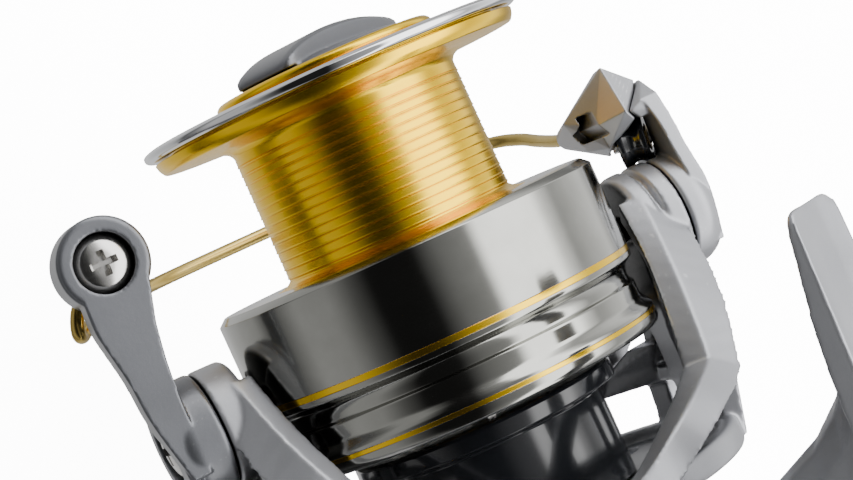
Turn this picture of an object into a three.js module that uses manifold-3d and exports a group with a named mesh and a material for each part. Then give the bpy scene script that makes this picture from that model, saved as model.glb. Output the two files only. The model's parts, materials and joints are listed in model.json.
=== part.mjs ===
// Spinning reel, size 50 class, with a rear free-spool drag. Millimetres, +Z up towards the rod.
// The origin is the centre of the foot's rod-side face, +X points forward along the spool axis and
// +Y is the angler's left. Inside the groups below, places are given from the centre of the spool's
// front lip: h is the distance behind that lip (x = -h), and the spool axis is y = z = 0.
import * as THREE from 'three';
import { mergeVertices } from 'three/addons/utils/BufferGeometryUtils.js';
import { ConvexGeometry } from 'three/addons/geometries/ConvexGeometry.js';
import Module from 'manifold-3d';

const wasm = await Module();
wasm.setup();

// ---------------------------------------------------------------- driving dimensions
const AXIS_DROP = 68; // spool axis below the foot's rod-side face
const LIP_FORWARD = 81; // spool lip ahead of the foot's centre
const ROTOR_REST_DEG = -34; // rotor's rest position about the spool axis

const LIP_R = 31.5; // spool lip radius
const ARBOR_R = 18.7; // arbor radius
const SKIRT_R = 31.6; // spool skirt radius
const SKIRT_TOP = 27.6; // h of the skirt's front face
const SKIRT_END = 55.4; // h of the skirt's rear edge
const WELL_R = 15.5; // drag well radius
const WELL_FLOOR = 16; // h of the drag well's floor
const SHAFT_R = 2.5; // main shaft radius
const SHAFT_BORE = 2.9; // radius of the holes that ride on the main shaft
const GAP = 0.3; // working gap between neighbouring pieces

const PIVOT_H = 42; // h of the bail's pivot axis
const HUB_R = 9.5; // bail hub radius
const HEAD_IN = 34.3; // rotor arm head, inner face from the spool axis
const HEAD_OUT = { left: 39.8, right: 42 }; // rotor arm heads, outer faces
const HUB_OUT = 47.5; // bail hubs, outer faces
const BOLT_SEAT = 45.3; // floor of the recess for a hub's bolt
const RIM_H = 78; // h of the rotor's rear rim
const CUP_IN = 32.8; // rotor cup inner radius
const CUP_OUT = 36; // rotor cup outer radius
const DECK_H = 75.6; // h of the rotor deck's front face
const WIRE_R = 1.1; // bail wire radius

const DRIVE_TEETH = 45;
const PINION_TEETH = 10; // 45 : 10 gives the 4.5 : 1 retrieve
const STEP_TEETH = 20; // small gear on the drive shaft
const OSC_TEETH = 34; // oscillation gear
const DRIVE_H = 113; // drive shaft axis, h
const DRIVE_Z = -12; // drive shaft axis, z
const OSC_H = 124; // oscillation gear axis, h
const OSC_Z = 3; // oscillation gear axis, z
const CRANK_PIN_R = 9.5; // half of the spool's stroke
const WALL = 3.2; // housing wall
const CASE_SPLIT_Y = -12.7; // where the side cover meets the housing
const CASE_LEFT_Y = 16; // housing's left outer face
const CASE_RIGHT_Y = -16.6; // side cover's outer face

const FOOT_HALF = 36; // half of the foot's length
const FOOT_W = 16; // foot width
const CRADLE_R = 26; // radius of the rod cradle in the foot
const HANDLE_Y = 42; // handle arm's plane
const HANDLE_LEN = 55; // drive axis to grip post
const GRIP_LEN = 36;
const REAR_H = 150; // h of the rear drag's front face

// ---------------------------------------------------------------- materials
const paint = (color, roughness, metalness) => ({ color, roughness, metalness });
const SILVER = paint(0xa8a8ad, 0.38, 0.7);
const GREY = paint(0x5e6066, 0.42, 0.6);
const GOLD = paint(0xd59a12, 0.22, 1);
const CHROME = paint(0xd8dadd, 0.08, 1);
const STEEL = paint(0xb5b3ae, 0.25, 1);
const BRONZE = paint(0xaf8b46, 0.3, 1);
const BRASS = paint(0xc9a24a, 0.3, 1);
const BLACK = paint(0x101114, 0.2, 0.1);
const RUBBER = paint(0x1c1c1e, 0.8, 0);
const FELT = paint(0x6a5f4b, 0.95, 0);

// ---------------------------------------------------------------- shape helpers
const DEG = Math.PI / 180;
const SMOOTHNESS = 0.5; // share of the full facet count, which keeps the working model light
const facets = (n) => Math.max(8, 2 * Math.round((n * SMOOTHNESS) / 2));
const { Vector2, Vector3 } = THREE;

// A closed solid from a three.js geometry, turned right side out.
function solid(geometry) {
  const bare = geometry.index ? geometry.toNonIndexed() : geometry.clone();
  for (const name of Object.keys(bare.attributes)) {
    if (name !== 'position') bare.deleteAttribute(name);
  }
  const merged = mergeVertices(bare, 1e-4);
  const place = merged.attributes.position;
  const corners = [];
  let volume = 0;
  for (let i = 0; i < merged.index.count; i += 3) {
    const ids = [0, 1, 2].map((k) => merged.index.getX(i + k));
    if (ids[0] === ids[1] || ids[1] === ids[2] || ids[2] === ids[0]) continue;
    const [a, b, c] = ids.map((id) => new Vector3().fromBufferAttribute(place, id));
    volume += a.dot(b.cross(c));
    corners.push(ids);
  }
  const order = volume < 0 ? [0, 2, 1] : [0, 1, 2];
  const triVerts = new Uint32Array(corners.flatMap((ids) => order.map((k) => ids[k])));
  const vertProperties = new Float32Array(place.array);
  return new wasm.Manifold(new wasm.Mesh({ numProp: 3, vertProperties, triVerts }));
}

// A solid as a three.js geometry, and the same solid moved by a matrix.
function geometryOf(body) {
  const mesh = body.getMesh();
  const geometry = new THREE.BufferGeometry();
  geometry.setAttribute('position', new THREE.Float32BufferAttribute(mesh.vertProperties, 3));
  geometry.setIndex([...mesh.triVerts]);
  return geometry;
}
const moved = (body, matrix) => solid(geometryOf(body).applyMatrix4(matrix));
const shifted = (body, x, y, z) => moved(body, new THREE.Matrix4().makeTranslation(x, y, z));
const halfTurned = (body) => moved(body, new THREE.Matrix4().makeRotationX(Math.PI));

const join = (...parts) => parts.flat().reduce((all, next) => all.add(next));
const cut = (body, ...tools) => tools.flat().reduce((rest, tool) => rest.subtract(tool), body);

// Turned round the spool axis from a closed outline of [radius, h] points.
function turned(outline, segments = 32) {
  const points = outline.map(([r, h]) => new Vector2(r, -h));
  if (outline[0][0] > 0) points.push(points[0].clone());
  return solid(new THREE.LatheGeometry(points, facets(segments)).rotateZ(-Math.PI / 2));
}
const ring = (rOut, rIn, h0, h1, segments) =>
  turned([[rIn, h0], [rOut, h0], [rOut, h1], [rIn, h1]], segments);
const plug = (r, h0, h1, segments) => turned([[0, h0], [r, h0], [r, h1], [0, h1]], segments);

// The same turned round an axis along Y through (h, z), from [radius, y] points.
function turnedY(outline, h, z, segments = 24) {
  const points = outline.map(([r, y]) => new Vector2(r, y));
  if (outline[0][0] > 0) points.push(points[0].clone());
  return solid(new THREE.LatheGeometry(points, facets(segments)).translate(-h, 0, z));
}
const ringY = (rOut, rIn, y0, y1, h, z, segments) =>
  turnedY([[rIn, y0], [rOut, y0], [rOut, y1], [rIn, y1]], h, z, segments);
const plugY = (r, y0, y1, h, z, segments) =>
  turnedY([[0, y0], [r, y0], [r, y1], [0, y1]], h, z, segments);

// Turned round an axis along Z through (h, y), from [radius, z] points.
function turnedZ(outline, h, y, segments = 24) {
  const points = outline.map(([r, z]) => new Vector2(r, z));
  if (outline[0][0] > 0) points.push(points[0].clone());
  return solid(new THREE.LatheGeometry(points, facets(segments)).rotateX(Math.PI / 2)
    .translate(-h, y, 0));
}

// A rod from one point to another.
function rod(from, to, r, segments = 16, rEnd = r) {
  const a = new Vector3(...from);
  const b = new Vector3(...to);
  const geometry = new THREE.CylinderGeometry(rEnd, r, a.distanceTo(b), facets(segments));
  const turn = new THREE.Quaternion();
  turn.setFromUnitVectors(new Vector3(0, 1, 0), b.clone().sub(a).normalize());
  geometry.applyQuaternion(turn).translate(...a.add(b).multiplyScalar(0.5).toArray());
  return solid(geometry);
}

const hull = (points) => solid(new ConvexGeometry(points.map((p) => new Vector3(...p))));
const block = (x0, x1, y0, y1, z0, z1) =>
  solid(new THREE.BoxGeometry(x1 - x0, y1 - y0, z1 - z0)
    .translate((x0 + x1) / 2, (y0 + y1) / 2, (z0 + z1) / 2));

// A chain of hulls through a list of point sets.
const chain = (sections) =>
  join(sections.slice(1).map((next, i) => hull([...sections[i], ...next])));

// A round wire along a smooth curve.
function wire(points, r, steps, sides = 8) {
  const curve = new THREE.CatmullRomCurve3(points.map((p) => new Vector3(...p)), false, 'centripetal');
  const section = new THREE.Shape();
  for (let i = 0; i < sides; i += 1) {
    const angle = (i / sides) * 2 * Math.PI;
    const corner = [r * Math.cos(angle), r * Math.sin(angle)];
    if (i === 0) section.moveTo(...corner);
    else section.lineTo(...corner);
  }
  section.closePath();
  return solid(new THREE.ExtrudeGeometry(section, { steps, extrudePath: curve }));
}

// A coil spring with its ends left open.
function coil(centre, axis, r, wireR, length, turns, perTurn = 8, sides = 4) {
  const points = [];
  const n = turns * perTurn;
  for (let i = 0; i <= n; i += 1) {
    const angle = (i / perTurn) * 2 * Math.PI;
    const along = (i / n - 0.5) * length;
    const across = [r * Math.cos(angle), r * Math.sin(angle)];
    points.push(axis === 'x' ? [centre[0] + along, centre[1] + across[0], centre[2] + across[1]]
      : [centre[0] + across[0], centre[1] + along, centre[2] + across[1]]);
  }
  return wire(points, wireR, n, sides);
}

// Point at radius r, angle beta from the +y arm towards +z, and h behind the lip.
const polar = (r, beta, h) => [-h, r * Math.cos(beta * DEG), r * Math.sin(beta * DEG)];
// Four corners of a section between two radii and two angles.
const section = (r0, r1, b0, b1, h) =>
  [polar(r0, b0, h), polar(r1, b0, h), polar(r0, b1, h), polar(r1, b1, h)];

// Trapezoid-toothed gear outline.
function gearShape(teeth, rRoot, rTip) {
  const shape = new THREE.Shape();
  const pitch = (2 * Math.PI) / teeth;
  const corners = [[0.1, rRoot], [0.32, rTip], [0.58, rTip], [0.8, rRoot]];
  for (let i = 0; i < teeth; i += 1) {
    for (const [step, r] of corners) {
      const angle = (i + step) * pitch;
      const corner = [r * Math.cos(angle), r * Math.sin(angle)];
      if (i === 0 && step === corners[0][0]) shape.moveTo(...corner);
      else shape.lineTo(...corner);
    }
  }
  shape.closePath();
  return shape;
}
const extrude = (shape, depth, extra = {}) =>
  new THREE.ExtrudeGeometry(shape, { depth, bevelEnabled: false, curveSegments: 12, ...extra });

// Outline round a set of [h, z, r] circles pulled tight, as a shape in the x-z plane.
function beltShape(circles, grow = 0, segments = 20) {
  const points = [];
  for (const [h, z, r] of circles) {
    for (let i = 0; i < segments; i += 1) {
      const angle = (i / segments) * 2 * Math.PI;
      points.push([-h + (r + grow) * Math.cos(angle), z + (r + grow) * Math.sin(angle)]);
    }
  }
  points.sort((a, b) => a[0] - b[0] || a[1] - b[1]);
  const turnOf = (o, a, b) => (a[0] - o[0]) * (b[1] - o[1]) - (a[1] - o[1]) * (b[0] - o[0]);
  const half = (list) => {
    const kept = [];
    for (const p of list) {
      while (kept.length > 1 && turnOf(kept.at(-2), kept.at(-1), p) < 0.02) kept.pop();
      kept.push(p);
    }
    return kept.slice(0, -1);
  };
  return new THREE.Shape([...half(points), ...half(points.toReversed())]
    .map((p) => new Vector2(...p)));
}
// The belt outline extruded along Y from y0 to y1, with a rounded edge at one side.
function slab(circles, grow, y0, y1, round = 0, side = 1) {
  if (!round) {
    const flat = extrude(beltShape(circles, grow), y1 - y0);
    return solid(flat.rotateX(Math.PI / 2).translate(0, y1, 0));
  }
  const layers = [0, 45, 90].map((a) => ({
    inset: round * (1 - Math.cos(a * DEG)),
    reach: round * Math.sin(a * DEG),
  }));
  const outline = (inset) => beltShape(circles, grow - inset).getPoints();
  const at = (inset, y) => outline(inset).map((p) => [p.x, y, p.y]);
  const [low, high] = side > 0 ? [y0, y1] : [y1, y0];
  const rings = layers.map(({ inset, reach }) => at(inset, high - side * (round - reach)));
  return hull([...at(0, low), ...rings.flat()]);
}

// ---------------------------------------------------------------- assembly groups
const reel = new THREE.Group();
reel.position.set(LIP_FORWARD, 0, -AXIS_DROP);
const rotorGroup = new THREE.Group();
rotorGroup.rotation.x = ROTOR_REST_DEG * DEG;
reel.add(rotorGroup);
const root = new THREE.Group();
root.add(reel);

function piece(group, name, body, look) {
  const geometry = geometryOf(body);
  geometry.computeVertexNormals();
  const part = new THREE.Mesh(geometry, new THREE.MeshStandardMaterial(look));
  part.name = name;
  group.add(part);
}
const fixed = (name, body, look) => piece(reel, name, body, look);
const turning = (name, body, look) => piece(rotorGroup, name, body, look);

// A domed screw with a cross recess, head top at the origin pointing to +Y before it is placed.
function crossScrew(headR, headH, shankR, shankLen) {
  const dome = [[0, 0], [headR * 0.6, -headH * 0.12], [headR * 0.9, -headH * 0.42], [headR, -headH]];
  const outline = [...dome, [shankR, -headH], [shankR, -headH - shankLen], [0, -headH - shankLen]];
  const body = solid(new THREE.LatheGeometry(outline.map(([r, y]) => new Vector2(r, y)), 12));
  const arm = headR * 0.5;
  const slot = headR * 0.13;
  const depth = headH * 0.6;
  return cut(body, block(-arm, arm, -depth, 1, -slot, slot), block(-slot, slot, -depth, 1, -arm, arm));
}
// Placed with its top at a point and its head facing a direction.
function placedScrew(screw, at, facing) {
  const turn = new THREE.Quaternion();
  turn.setFromUnitVectors(new Vector3(0, 1, 0), new Vector3(...facing).normalize());
  return moved(screw, new THREE.Matrix4().compose(new Vector3(...at), turn, new Vector3(1, 1, 1)));
}

// ---------------------------------------------------------------- spool and drag
function spool() {
  const flange = [[WELL_R, 0.4], [27.2, 0.4], [27.2, 1.75], [30.3, 1.75], [29.7, 3.7], [20.6, 4.1]];
  const arbor = [[ARBOR_R + 0.4, 4.7], [ARBOR_R, 5.7], [ARBOR_R, 26], [19.2, 26.9], [20.4, 27.4]];
  const skirt = [[30.2, SKIRT_TOP], [SKIRT_R, 28.6], [SKIRT_R, 44.3], [29.9, 45.3], [29.8, 50.4],
    [31.2, 51.7], [SKIRT_R, 52.4], [SKIRT_R, 54.4], [31, SKIRT_END], [29.8, SKIRT_END]];
  const inside = [[29.8, 52.6], [28.2, 50.8], [28.2, 45], [29.4, 43.4], [29.4, 31], [28, 29.6],
    [16.9, 29.6], [16.9, 19.2], [6.5, 19.2], [6.5, 33], [SHAFT_BORE, 33]];
  const well = [[SHAFT_BORE, WELL_FLOOR], [WELL_R, WELL_FLOOR]];
  return turned([...flange, ...arbor, ...skirt, ...inside, ...well], 56);
}
function lipRing() {
  return turned([[27.5, -0.2], [29, -0.5], [30.4, -0.35], [31.2, 0], [LIP_R, 0.5], [31.3, 1],
    [30.7, 1.4], [27.5, 1.4]], 56);
}
fixed('spool', spool(), GOLD);
fixed('lip_ring', lipRing(), CHROME);

// Drag stack, from the well's floor forwards.
const STACK = ['felt_washer_rear', 'keyed_washer', 'felt_washer_front', 'eared_washer'];
STACK.forEach((name, i) => {
  const back = WELL_FLOOR - GAP - i * (1 + GAP);
  const felt = name.startsWith('felt');
  const keyed = name === 'keyed_washer';
  fixed(name, ring(felt ? 14.6 : 14.9, keyed ? 3.1 : 4, back - 1, back, 28), felt ? FELT : STEEL);
});
const stackTop = WELL_FLOOR - STACK.length * (1 + GAP);
function retainingClip() {
  const whole = ring(15.2, 13.9, stackTop - 1, stackTop - GAP, 28);
  return cut(whole, block(-20, 20, 12, 17, -2.5, 2.5));
}
fixed('retaining_clip', retainingClip(), STEEL);

// Drag knob: a plug in the well, a low dome and a long arched grip bar.
const BAR = { half: 15.2, width: 6.2, foot: 2.9, side: 3.6, rise: 4.3, bevel: 1.2 };
function dragKnob() {
  const plate = stackTop - 1.4;
  const body = turned([[0, -3.8], [11, -3.5], [13.8, -3], [14.4, -2.7], [14.4, -2.2], [13.3, -2.1],
    [13.3, plate], [8.6, plate], [8.6, -1.2], [0, -1.2]], 32);
  const arch = [];
  const steps = 12;
  for (let i = 0; i <= steps; i += 1) {
    const angle = (i / steps) * Math.PI;
    const y = BAR.half * Math.cos(angle);
    const high = Math.sin(angle);
    const half = BAR.width * (1 - 0.45 * (1 - high) ** 4);
    for (const z of [-1, 1]) {
      arch.push([BAR.foot, y, z * half], [BAR.foot + BAR.side * high, y, z * half],
        [BAR.foot + BAR.rise * high, y, z * (half - BAR.bevel)]);
    }
  }
  return join(body, hull(arch));
}
fixed('drag_knob', dragKnob(), GREY);
fixed('knob_trim_ring', turned([[13.7, -1.8], [14.9, -1.9], [15, -2.6], [17.6, -2.5], [18.2, -1.9],
  [18.1, -1.2], [17.2, -0.9], [13.7, -0.9]], 40), GOLD);
fixed('knob_nut', cut(solid(new THREE.CylinderGeometry(6.4, 6.4, 3.4, 6).rotateZ(-Math.PI / 2)
  .translate(-1.4, 0, 0)), plug(SHAFT_BORE, -5, 8)), BRASS);
fixed('knob_spring', coil([-5.15, 0, 0], 'x', 5.8, 0.3, 1.6, 2, 11), STEEL);

fixed('main_shaft', turned([[0, -0.9], [SHAFT_R - 0.5, -0.9], [SHAFT_R, -0.4], [SHAFT_R, 116.8],
  [SHAFT_R - 0.5, 117.3], [0, 117.3]], 20), STEEL);
fixed('click_gear', cut(solid(extrude(gearShape(12, 9.4, 10.6), 1.6).rotateY(-Math.PI / 2)
  .translate(-20, 0, 0)), plug(7, 15, 25)), STEEL);

// ---------------------------------------------------------------- rotor
const RIB_W = 4.6; // rib width in the wall's surface
const RIB_MEAN_R = 36; // radius at which the rib's width is laid out
// The roller-side arm stands further out; drop is how far the other arm lies below it. An edge is
// the window edge of an arm's rib, [beta, h], from the arm head round to midway between the arms,
// with the rib's inner and outer radii there. It runs straight to a crisp knee, then bends round.
const ARMS = {
  left: {
    out: HEAD_OUT.left,
    drop: 2.2,
    edge: [[12, 36.3, 36.6, 39.9], [22, 46, 36.6, 40.9], [33, 55.8, 36.6, 42], [44, 65.2, 36.6, 42.4],
      [51, 67.3, 35.8, 41], [60, 69.6, 35.6, 39.6], [75, 72.5, 35.6, 38], [90, 74, 35.6, 37]],
  },
  right: {
    out: HEAD_OUT.right,
    drop: 0,
    edge: [[12.2, 36.9, 37.2, 42.2], [22, 45.2, 36.8, 42.4], [32, 54.2, 37, 42], [41.4, 62.7, 37.8, 41],
      [52, 64.8, 37.8, 40.2], [66, 68.4, 37.4, 39], [79.5, 72.4, 36.6, 38], [90, 74, 35.6, 37]],
  },
};
function rib(side, edge) {
  const arc = (beta) => beta * DEG * RIB_MEAN_R;
  const sections = edge.map(([beta, h, inner, outer], i) => {
    const [b0, h0] = edge[Math.max(i - 1, 0)];
    const [b1, h1] = edge[Math.min(i + 1, edge.length - 1)];
    const along = new Vector2(arc(b1) - arc(b0), h1 - h0).normalize();
    const h2 = Math.min(h + along.x * RIB_W, RIM_H - 0.5);
    const beta2 = beta - (along.y * RIB_W) / RIB_MEAN_R / DEG;
    return [polar(33.2, side * beta, h), polar(inner, side * beta, h), polar(33.2, side * beta2, h2),
      polar(outer, side * beta2, h2)];
  });
  return chain(sections);
}
function armHead(out, drop) {
  const y = HEAD_IN;
  const groove = drop > 0 ? [] : [[9.3, y + 3.2], [7.8, y + 3.4], [7.8, y + 4.6], [9.4, y + 5]];
  return turnedY([[2.7, y], [8.6, y], [9.3, y + 0.8], ...groove, [9.4, out], [2.7, out]], PIVOT_H, 0, 28);
}
function rotorArm({ out, drop, edge }) {
  const spine = chain([
    section(33.8, 37, -12.5, 12.5, 43),
    section(33.6, 37, -9.5, 9.5, 51),
    section(33.2, 36.4, -6, 6, 60),
    section(33.2, 36.4, -6, 6, 76),
  ]);
  const walls = [-1, 1].map((side) => chain([
    section(37 - drop / 2, 41.4 - drop, side * 8.5, side * 12.3, 43),
    section(36 - drop / 2, 40.2 - drop, side * 9.5, side * 13.5, 52),
    section(35.5, 39.6 - drop, side * 13, side * 18, 62),
    section(35, 39.2 - drop / 2, side * 14, side * 22, 66.5),
    section(33.5, 36.6, side * 14, side * 22, 77.4),
  ]));
  const bridge = hull([
    ...section(35, 39.4 - drop, -18, 18, 64.6),
    ...section(35, 39 - drop / 2, -20, 20, 67),
  ]);
  const links = [-1, 1].map((side) => chain([
    section(34, 39.6 - drop, side * 9, side * 22, 60.5),
    section(34, 39.6 - drop, side * 14, side * 36, 64.3),
    section(34, 40, side * 14, side * 40, 67),
  ]));
  const ribs = [rib(1, edge), rib(-1, edge)];
  const arm = join(armHead(out, drop), spine, ...ribs, ...walls, bridge, ...links);
  return cut(arm, plugY(2.7, HEAD_IN - 1, out + 1, PIVOT_H, 0));
}
function rotor() {
  const cup = turned([[CUP_IN, 73.6], [CUP_OUT - 0.6, 73.6], [CUP_OUT, 74.4], [CUP_OUT, RIM_H - 0.5],
    [CUP_OUT - 0.6, RIM_H], [9, RIM_H], [9, 79.4], [4.6, 79.4], [4.6, 62.4], [9, 62.4], [9, DECK_H],
    [CUP_IN, DECK_H]], 48);
  const ports = [30, 90, 150, 210, 270, 330].map((a) => {
    const [x, y, z] = polar(26, a, DECK_H);
    return rod([x + 2, y, z], [x - 4, y, z], 3.4, 14);
  });
  return cut(join(cup, rotorArm(ARMS.left), halfTurned(rotorArm(ARMS.right))), ports);
}
turning('rotor', rotor(), SILVER);
const armCover = (drop) => chain([
  section(40.7 - drop, 41.3 - drop, -8, 8, 52.4),
  section(40.7 - drop, 41.9 - drop, -11.5, 11.5, 54),
  section(40.3 - drop, 41.5 - drop, -13.5, 13.5, 61),
  section(40.1 - drop, 40.7 - drop, -12.5, 12.5, 63.3),
]);
turning('arm_cover_left', armCover(ARMS.left.drop), SILVER);
turning('arm_cover_right', halfTurned(armCover(ARMS.right.drop)), SILVER);
turning('rotor_collar', turned([[10.4, 57.2], [21.2, 57.2], [21.7, 57.7], [21.7, 60.2], [18.6, 60.8],
  [18.6, DECK_H - GAP], [17.2, DECK_H - GAP], [17.2, 59.4], [10.4, 59.4]], 40), BLACK);
turning('rotor_nut', cut(solid(new THREE.CylinderGeometry(8, 8, 2.6, 6).rotateZ(-Math.PI / 2)
  .translate(-60.6, 0, 0)), plug(4.5, 55, 65)), STEEL);
function pinionGear() {
  const tube = turned([[SHAFT_BORE, 59.2], [4.3, 59.2], [4.3, 112.4], [SHAFT_BORE, 112.4]], 24);
  const teeth = solid(extrude(gearShape(PINION_TEETH, 4.2, 5.3), 11).rotateY(-Math.PI / 2)
    .translate(-97, 0, 0));
  return join(tube, cut(teeth, plug(3.6, 90, 115)));
}
fixed('pinion_gear', pinionGear(), BRASS);

// Bail spring and its guide in the roller-side arm, behind the arm cover.
const springY = -38.05;
const springPart = (from, to, r) => rod([-from, springY, 0], [-to, springY, 0], r, 12);
turning('spring_guide', join(springPart(52.6, 61.5, 0.35), springPart(51.9, 52.7, 0.9)), STEEL);
turning('bail_spring', coil([-57.6, springY, 0], 'x', 0.7, 0.22, 8.4, 6), STEEL);
turning('trip_lever', join(
  hull([...section(19.5, 31, 172, 178, 78.4), ...section(19.5, 30.4, 172, 178, 80)]),
  hull([...section(19.5, 22.5, 172, 178, 79.6), ...section(19.5, 21.5, 172, 178, 81.2)]),
), STEEL);

// ---------------------------------------------------------------- bail
// A plug on the bail's pivot axis, on one side of the reel.
const pivotPlug = (r, side, y0, y1) =>
  plugY(r, Math.min(side * y0, side * y1), Math.max(side * y0, side * y1), PIVOT_H, 0, 28);
const screwBore = (side) => pivotPlug(2.9, side, 38, 52);
const boltRecess = (side) => pivotPlug(5.6, side, BOLT_SEAT, 52);
function hub(side, inner) {
  const at = [[0, inner], [HUB_R - 0.2, inner], [HUB_R, inner + 0.5], [HUB_R, HUB_OUT - 2], [8.4, HUB_OUT],
    [0, HUB_OUT]].map(([r, y]) => [r, y * side]);
  return turnedY(at, PIVOT_H, 0, 36);
}
const HOLDER_Z = 9.2; // wire holder's camera-side face
const HOLDER_HEAD = { h: 12.35, y: 45.96, r: 7.1, thick: 8 };
function bailHolder() {
  const bar = (h, y0, y1, z0, z1) => [[-h, y0, z0], [-h, y1, z0], [-h, y0, z1], [-h, y1, z1]];
  const strap = chain([
    bar(47, 44.2, 47.2, 4.6, HOLDER_Z - 0.6),
    bar(40, 44.2, 48.9, 4.6, HOLDER_Z),
    bar(35.3, 44, 49.7, 4.8, HOLDER_Z),
    bar(29.9, 43.6, 50.1, 4.8, HOLDER_Z),
    bar(24, 42.7, 51.1, 4.8, HOLDER_Z),
    bar(21, 41.9, 51.5, 4.6, HOLDER_Z),
    bar(16.5, 40.6, 51.3, 4.6, HOLDER_Z),
  ]);
  const { h, y, r, thick } = HOLDER_HEAD;
  const z0 = HOLDER_Z - thick;
  const head = turnedZ([[0, z0], [r - 0.5, z0], [r, z0 + 0.5], [r, HOLDER_Z - 0.5],
    [r - 0.5, HOLDER_Z], [0, HOLDER_Z]], h, y, 36);
  const fin = hull([[-48, 45.9, 1], [-48, HUB_OUT, 1], [-31, 47.2, 5], [-31, 49, 5], [-31, 47.2, 8],
    [-31, 49, 8], [-48, 45.9, 8], [-48, HUB_OUT, 8], [-42, 45.9, -6], [-42, HUB_OUT, -6]]);
  const recess = turnedZ([[0, 6.4], [4.8, 6.4], [4.8, HOLDER_Z + 1], [0, HOLDER_Z + 1]], h, y, 28);
  const thread = turnedZ([[0, 4], [1.9, 4], [1.9, 7], [0, 7]], h, y, 16);
  const wireHole = turnedZ([[0, z0 - 1], [1.6, z0 - 1], [1.6, 4.2], [0, 4.2]], h, y, 16);
  return cut(join(hub(1, HEAD_OUT.left + GAP), strap, head, fin), recess, thread, wireHole, boltRecess(1),
    screwBore(1));
}
turning('bail_holder', bailHolder(), GREY);
turning('wire_screw', placedScrew(crossScrew(4.5, 2.4, 1.6, 1.8),
  [-HOLDER_HEAD.h, HOLDER_HEAD.y, HOLDER_Z], [0, 0, 1]), STEEL);
for (const [name, side] of [['hub_bolt_left', 1], ['hub_bolt_right', -1]]) {
  const bolt = placedScrew(crossScrew(5.2, 2, 2.4, 9), [-PIVOT_H, side * (BOLT_SEAT + 2.4), 0], [0, side, 0]);
  turning(name, bolt, STEEL);
}

// Roller side. The roller turns on a bush on an axle from the arm to the wire cone.
const ROLLER_AT = new Vector3(-29.2, -43.2, -1.6);
const ROLLER_AXIS = new Vector3(0.1, 0.86, -0.5).normalize();
const onRoller = (distance) => ROLLER_AT.clone().addScaledVector(ROLLER_AXIS, distance).toArray();
function lineRoller() {
  const part = (a, b, r0, r1) => rod(onRoller(a), onRoller(b), r0, 24, r1);
  const body = join(part(-2.4, -1.6, 4, 4), part(-1.7, 0.1, 4, 3.1), part(-0.1, 1.7, 3.1, 4),
    part(1.6, 2.4, 4, 4));
  return cut(body, part(-4, 4, 2.3, 2.3));
}
turning('line_roller', lineRoller(), BLACK);
const bushBody = rod(onRoller(-2.6), onRoller(2.6), 2, 18);
turning('roller_bush', cut(bushBody, rod(onRoller(-4), onRoller(4), 1.4, 14)), BRASS);
turning('roller_screw', join(rod(onRoller(-4.1), onRoller(3.6), 1.1, 12),
  rod(onRoller(-4.7), onRoller(-3.9), 2, 14)), STEEL);

const CONE_TIP = [-24.5, -38.6, -15.5];
function wireCone() {
  const tip = [];
  for (let i = 0; i < 10; i += 1) {
    const angle = (i / 10) * 2 * Math.PI;
    tip.push([CONE_TIP[0] + 2 * Math.cos(angle), CONE_TIP[1] + 2 * Math.sin(angle), CONE_TIP[2] - 0.2]);
  }
  const body = hull([...tip,
    [-16, -42.2, 0.4], [-16.4, -42.5, -3.6], // peak
    [-20.1, -46.2, 1.6], [-20.4, -46.6, -4], // top of the seam to the arm
    [-24, -41, 5.6], [-25.8, -42.3, 4.6], // near corner of the seam
    [-24.3, -37, 1.5], [-30, -39.7, -4.6], [-28.6, -37.9, 0.6], [-27.8, -37, -6], // lower edge
    [-22, -34.9, -6], [-19.8, -39.8, -8], [-21, -44.6, -9], [-27, -41.8, -8.4],
  ]);
  const bore = rod([CONE_TIP[0], CONE_TIP[1] + 0.1, CONE_TIP[2] - 3],
    [CONE_TIP[0] + 0.2, CONE_TIP[1] - 0.6, CONE_TIP[2] + 5], WIRE_R + 0.45, 14);
  const slot = chain([[-21.9, -36.3, -37.9], [-24.3, -35.8, -37.3], [-26.4, -36.6, -38.4]].map(
    ([x, y0, y1]) => [[x, y0, -6.5], [x, y1, -6.5], [x, y0, 4], [x, y1, 4]]));
  const rollerRoom = rod(onRoller(-4), onRoller(2.8), 4.7, 20);
  const axle = rod(onRoller(2), onRoller(4.2), 1.5, 12);
  return cut(body, bore, slot, rollerRoom, axle);
}
turning('wire_cone', wireCone(), SILVER);

function bailArm() {
  const bar = (h, y0, y1, z0, z1) => [[-h, -y0, z0], [-h, -y1, z0], [-h, -y0, z1], [-h, -y1, z1]];
  const plate = chain([
    bar(49, 45.3, HUB_OUT, -6, 6),
    bar(40, 45.3, 47.8, -8.5, 8.5),
    bar(33, 45, 47.4, -8, 7.6),
    bar(28, 44.8, 47.3, -7.6, 7),
    bar(23.6, 44.2, 47.1, -7, 6),
  ]);
  const hood = hull([...bar(23.4, 43.8, 47.1, -7, 6), [-20.3, -46.9, 2], [-20.7, -47.1, -4],
    [-24.4, -41.6, 5.8], [-26, -43, 5.2], [-26, -47.1, 6.2], [-21.4, -45.4, -8.6], [-24, -44, -8.4],
    [-26, -47.1, -7]]);
  const shell = join(hub(-1, HEAD_OUT.right + GAP), plate, hood);
  const rollerRoom = rod(onRoller(-2.9), onRoller(6), 4.7, 20);
  const axle = rod(onRoller(-9), onRoller(0), 1.4, 12);
  const sink = rod(onRoller(-9), onRoller(-3.6), 2.4, 14);
  return cut(shell, rollerRoom, axle, sink, boltRecess(-1), screwBore(-1));
}
const SEAM = [[-0.12, -0.2, 0.15], [-0.25, -0.25, 0], [0, -0.3, 0]]; // clearance to the cone
turning('bail_arm', cut(bailArm(), SEAM.map((step) => shifted(wireCone(), ...step))), SILVER);

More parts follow.
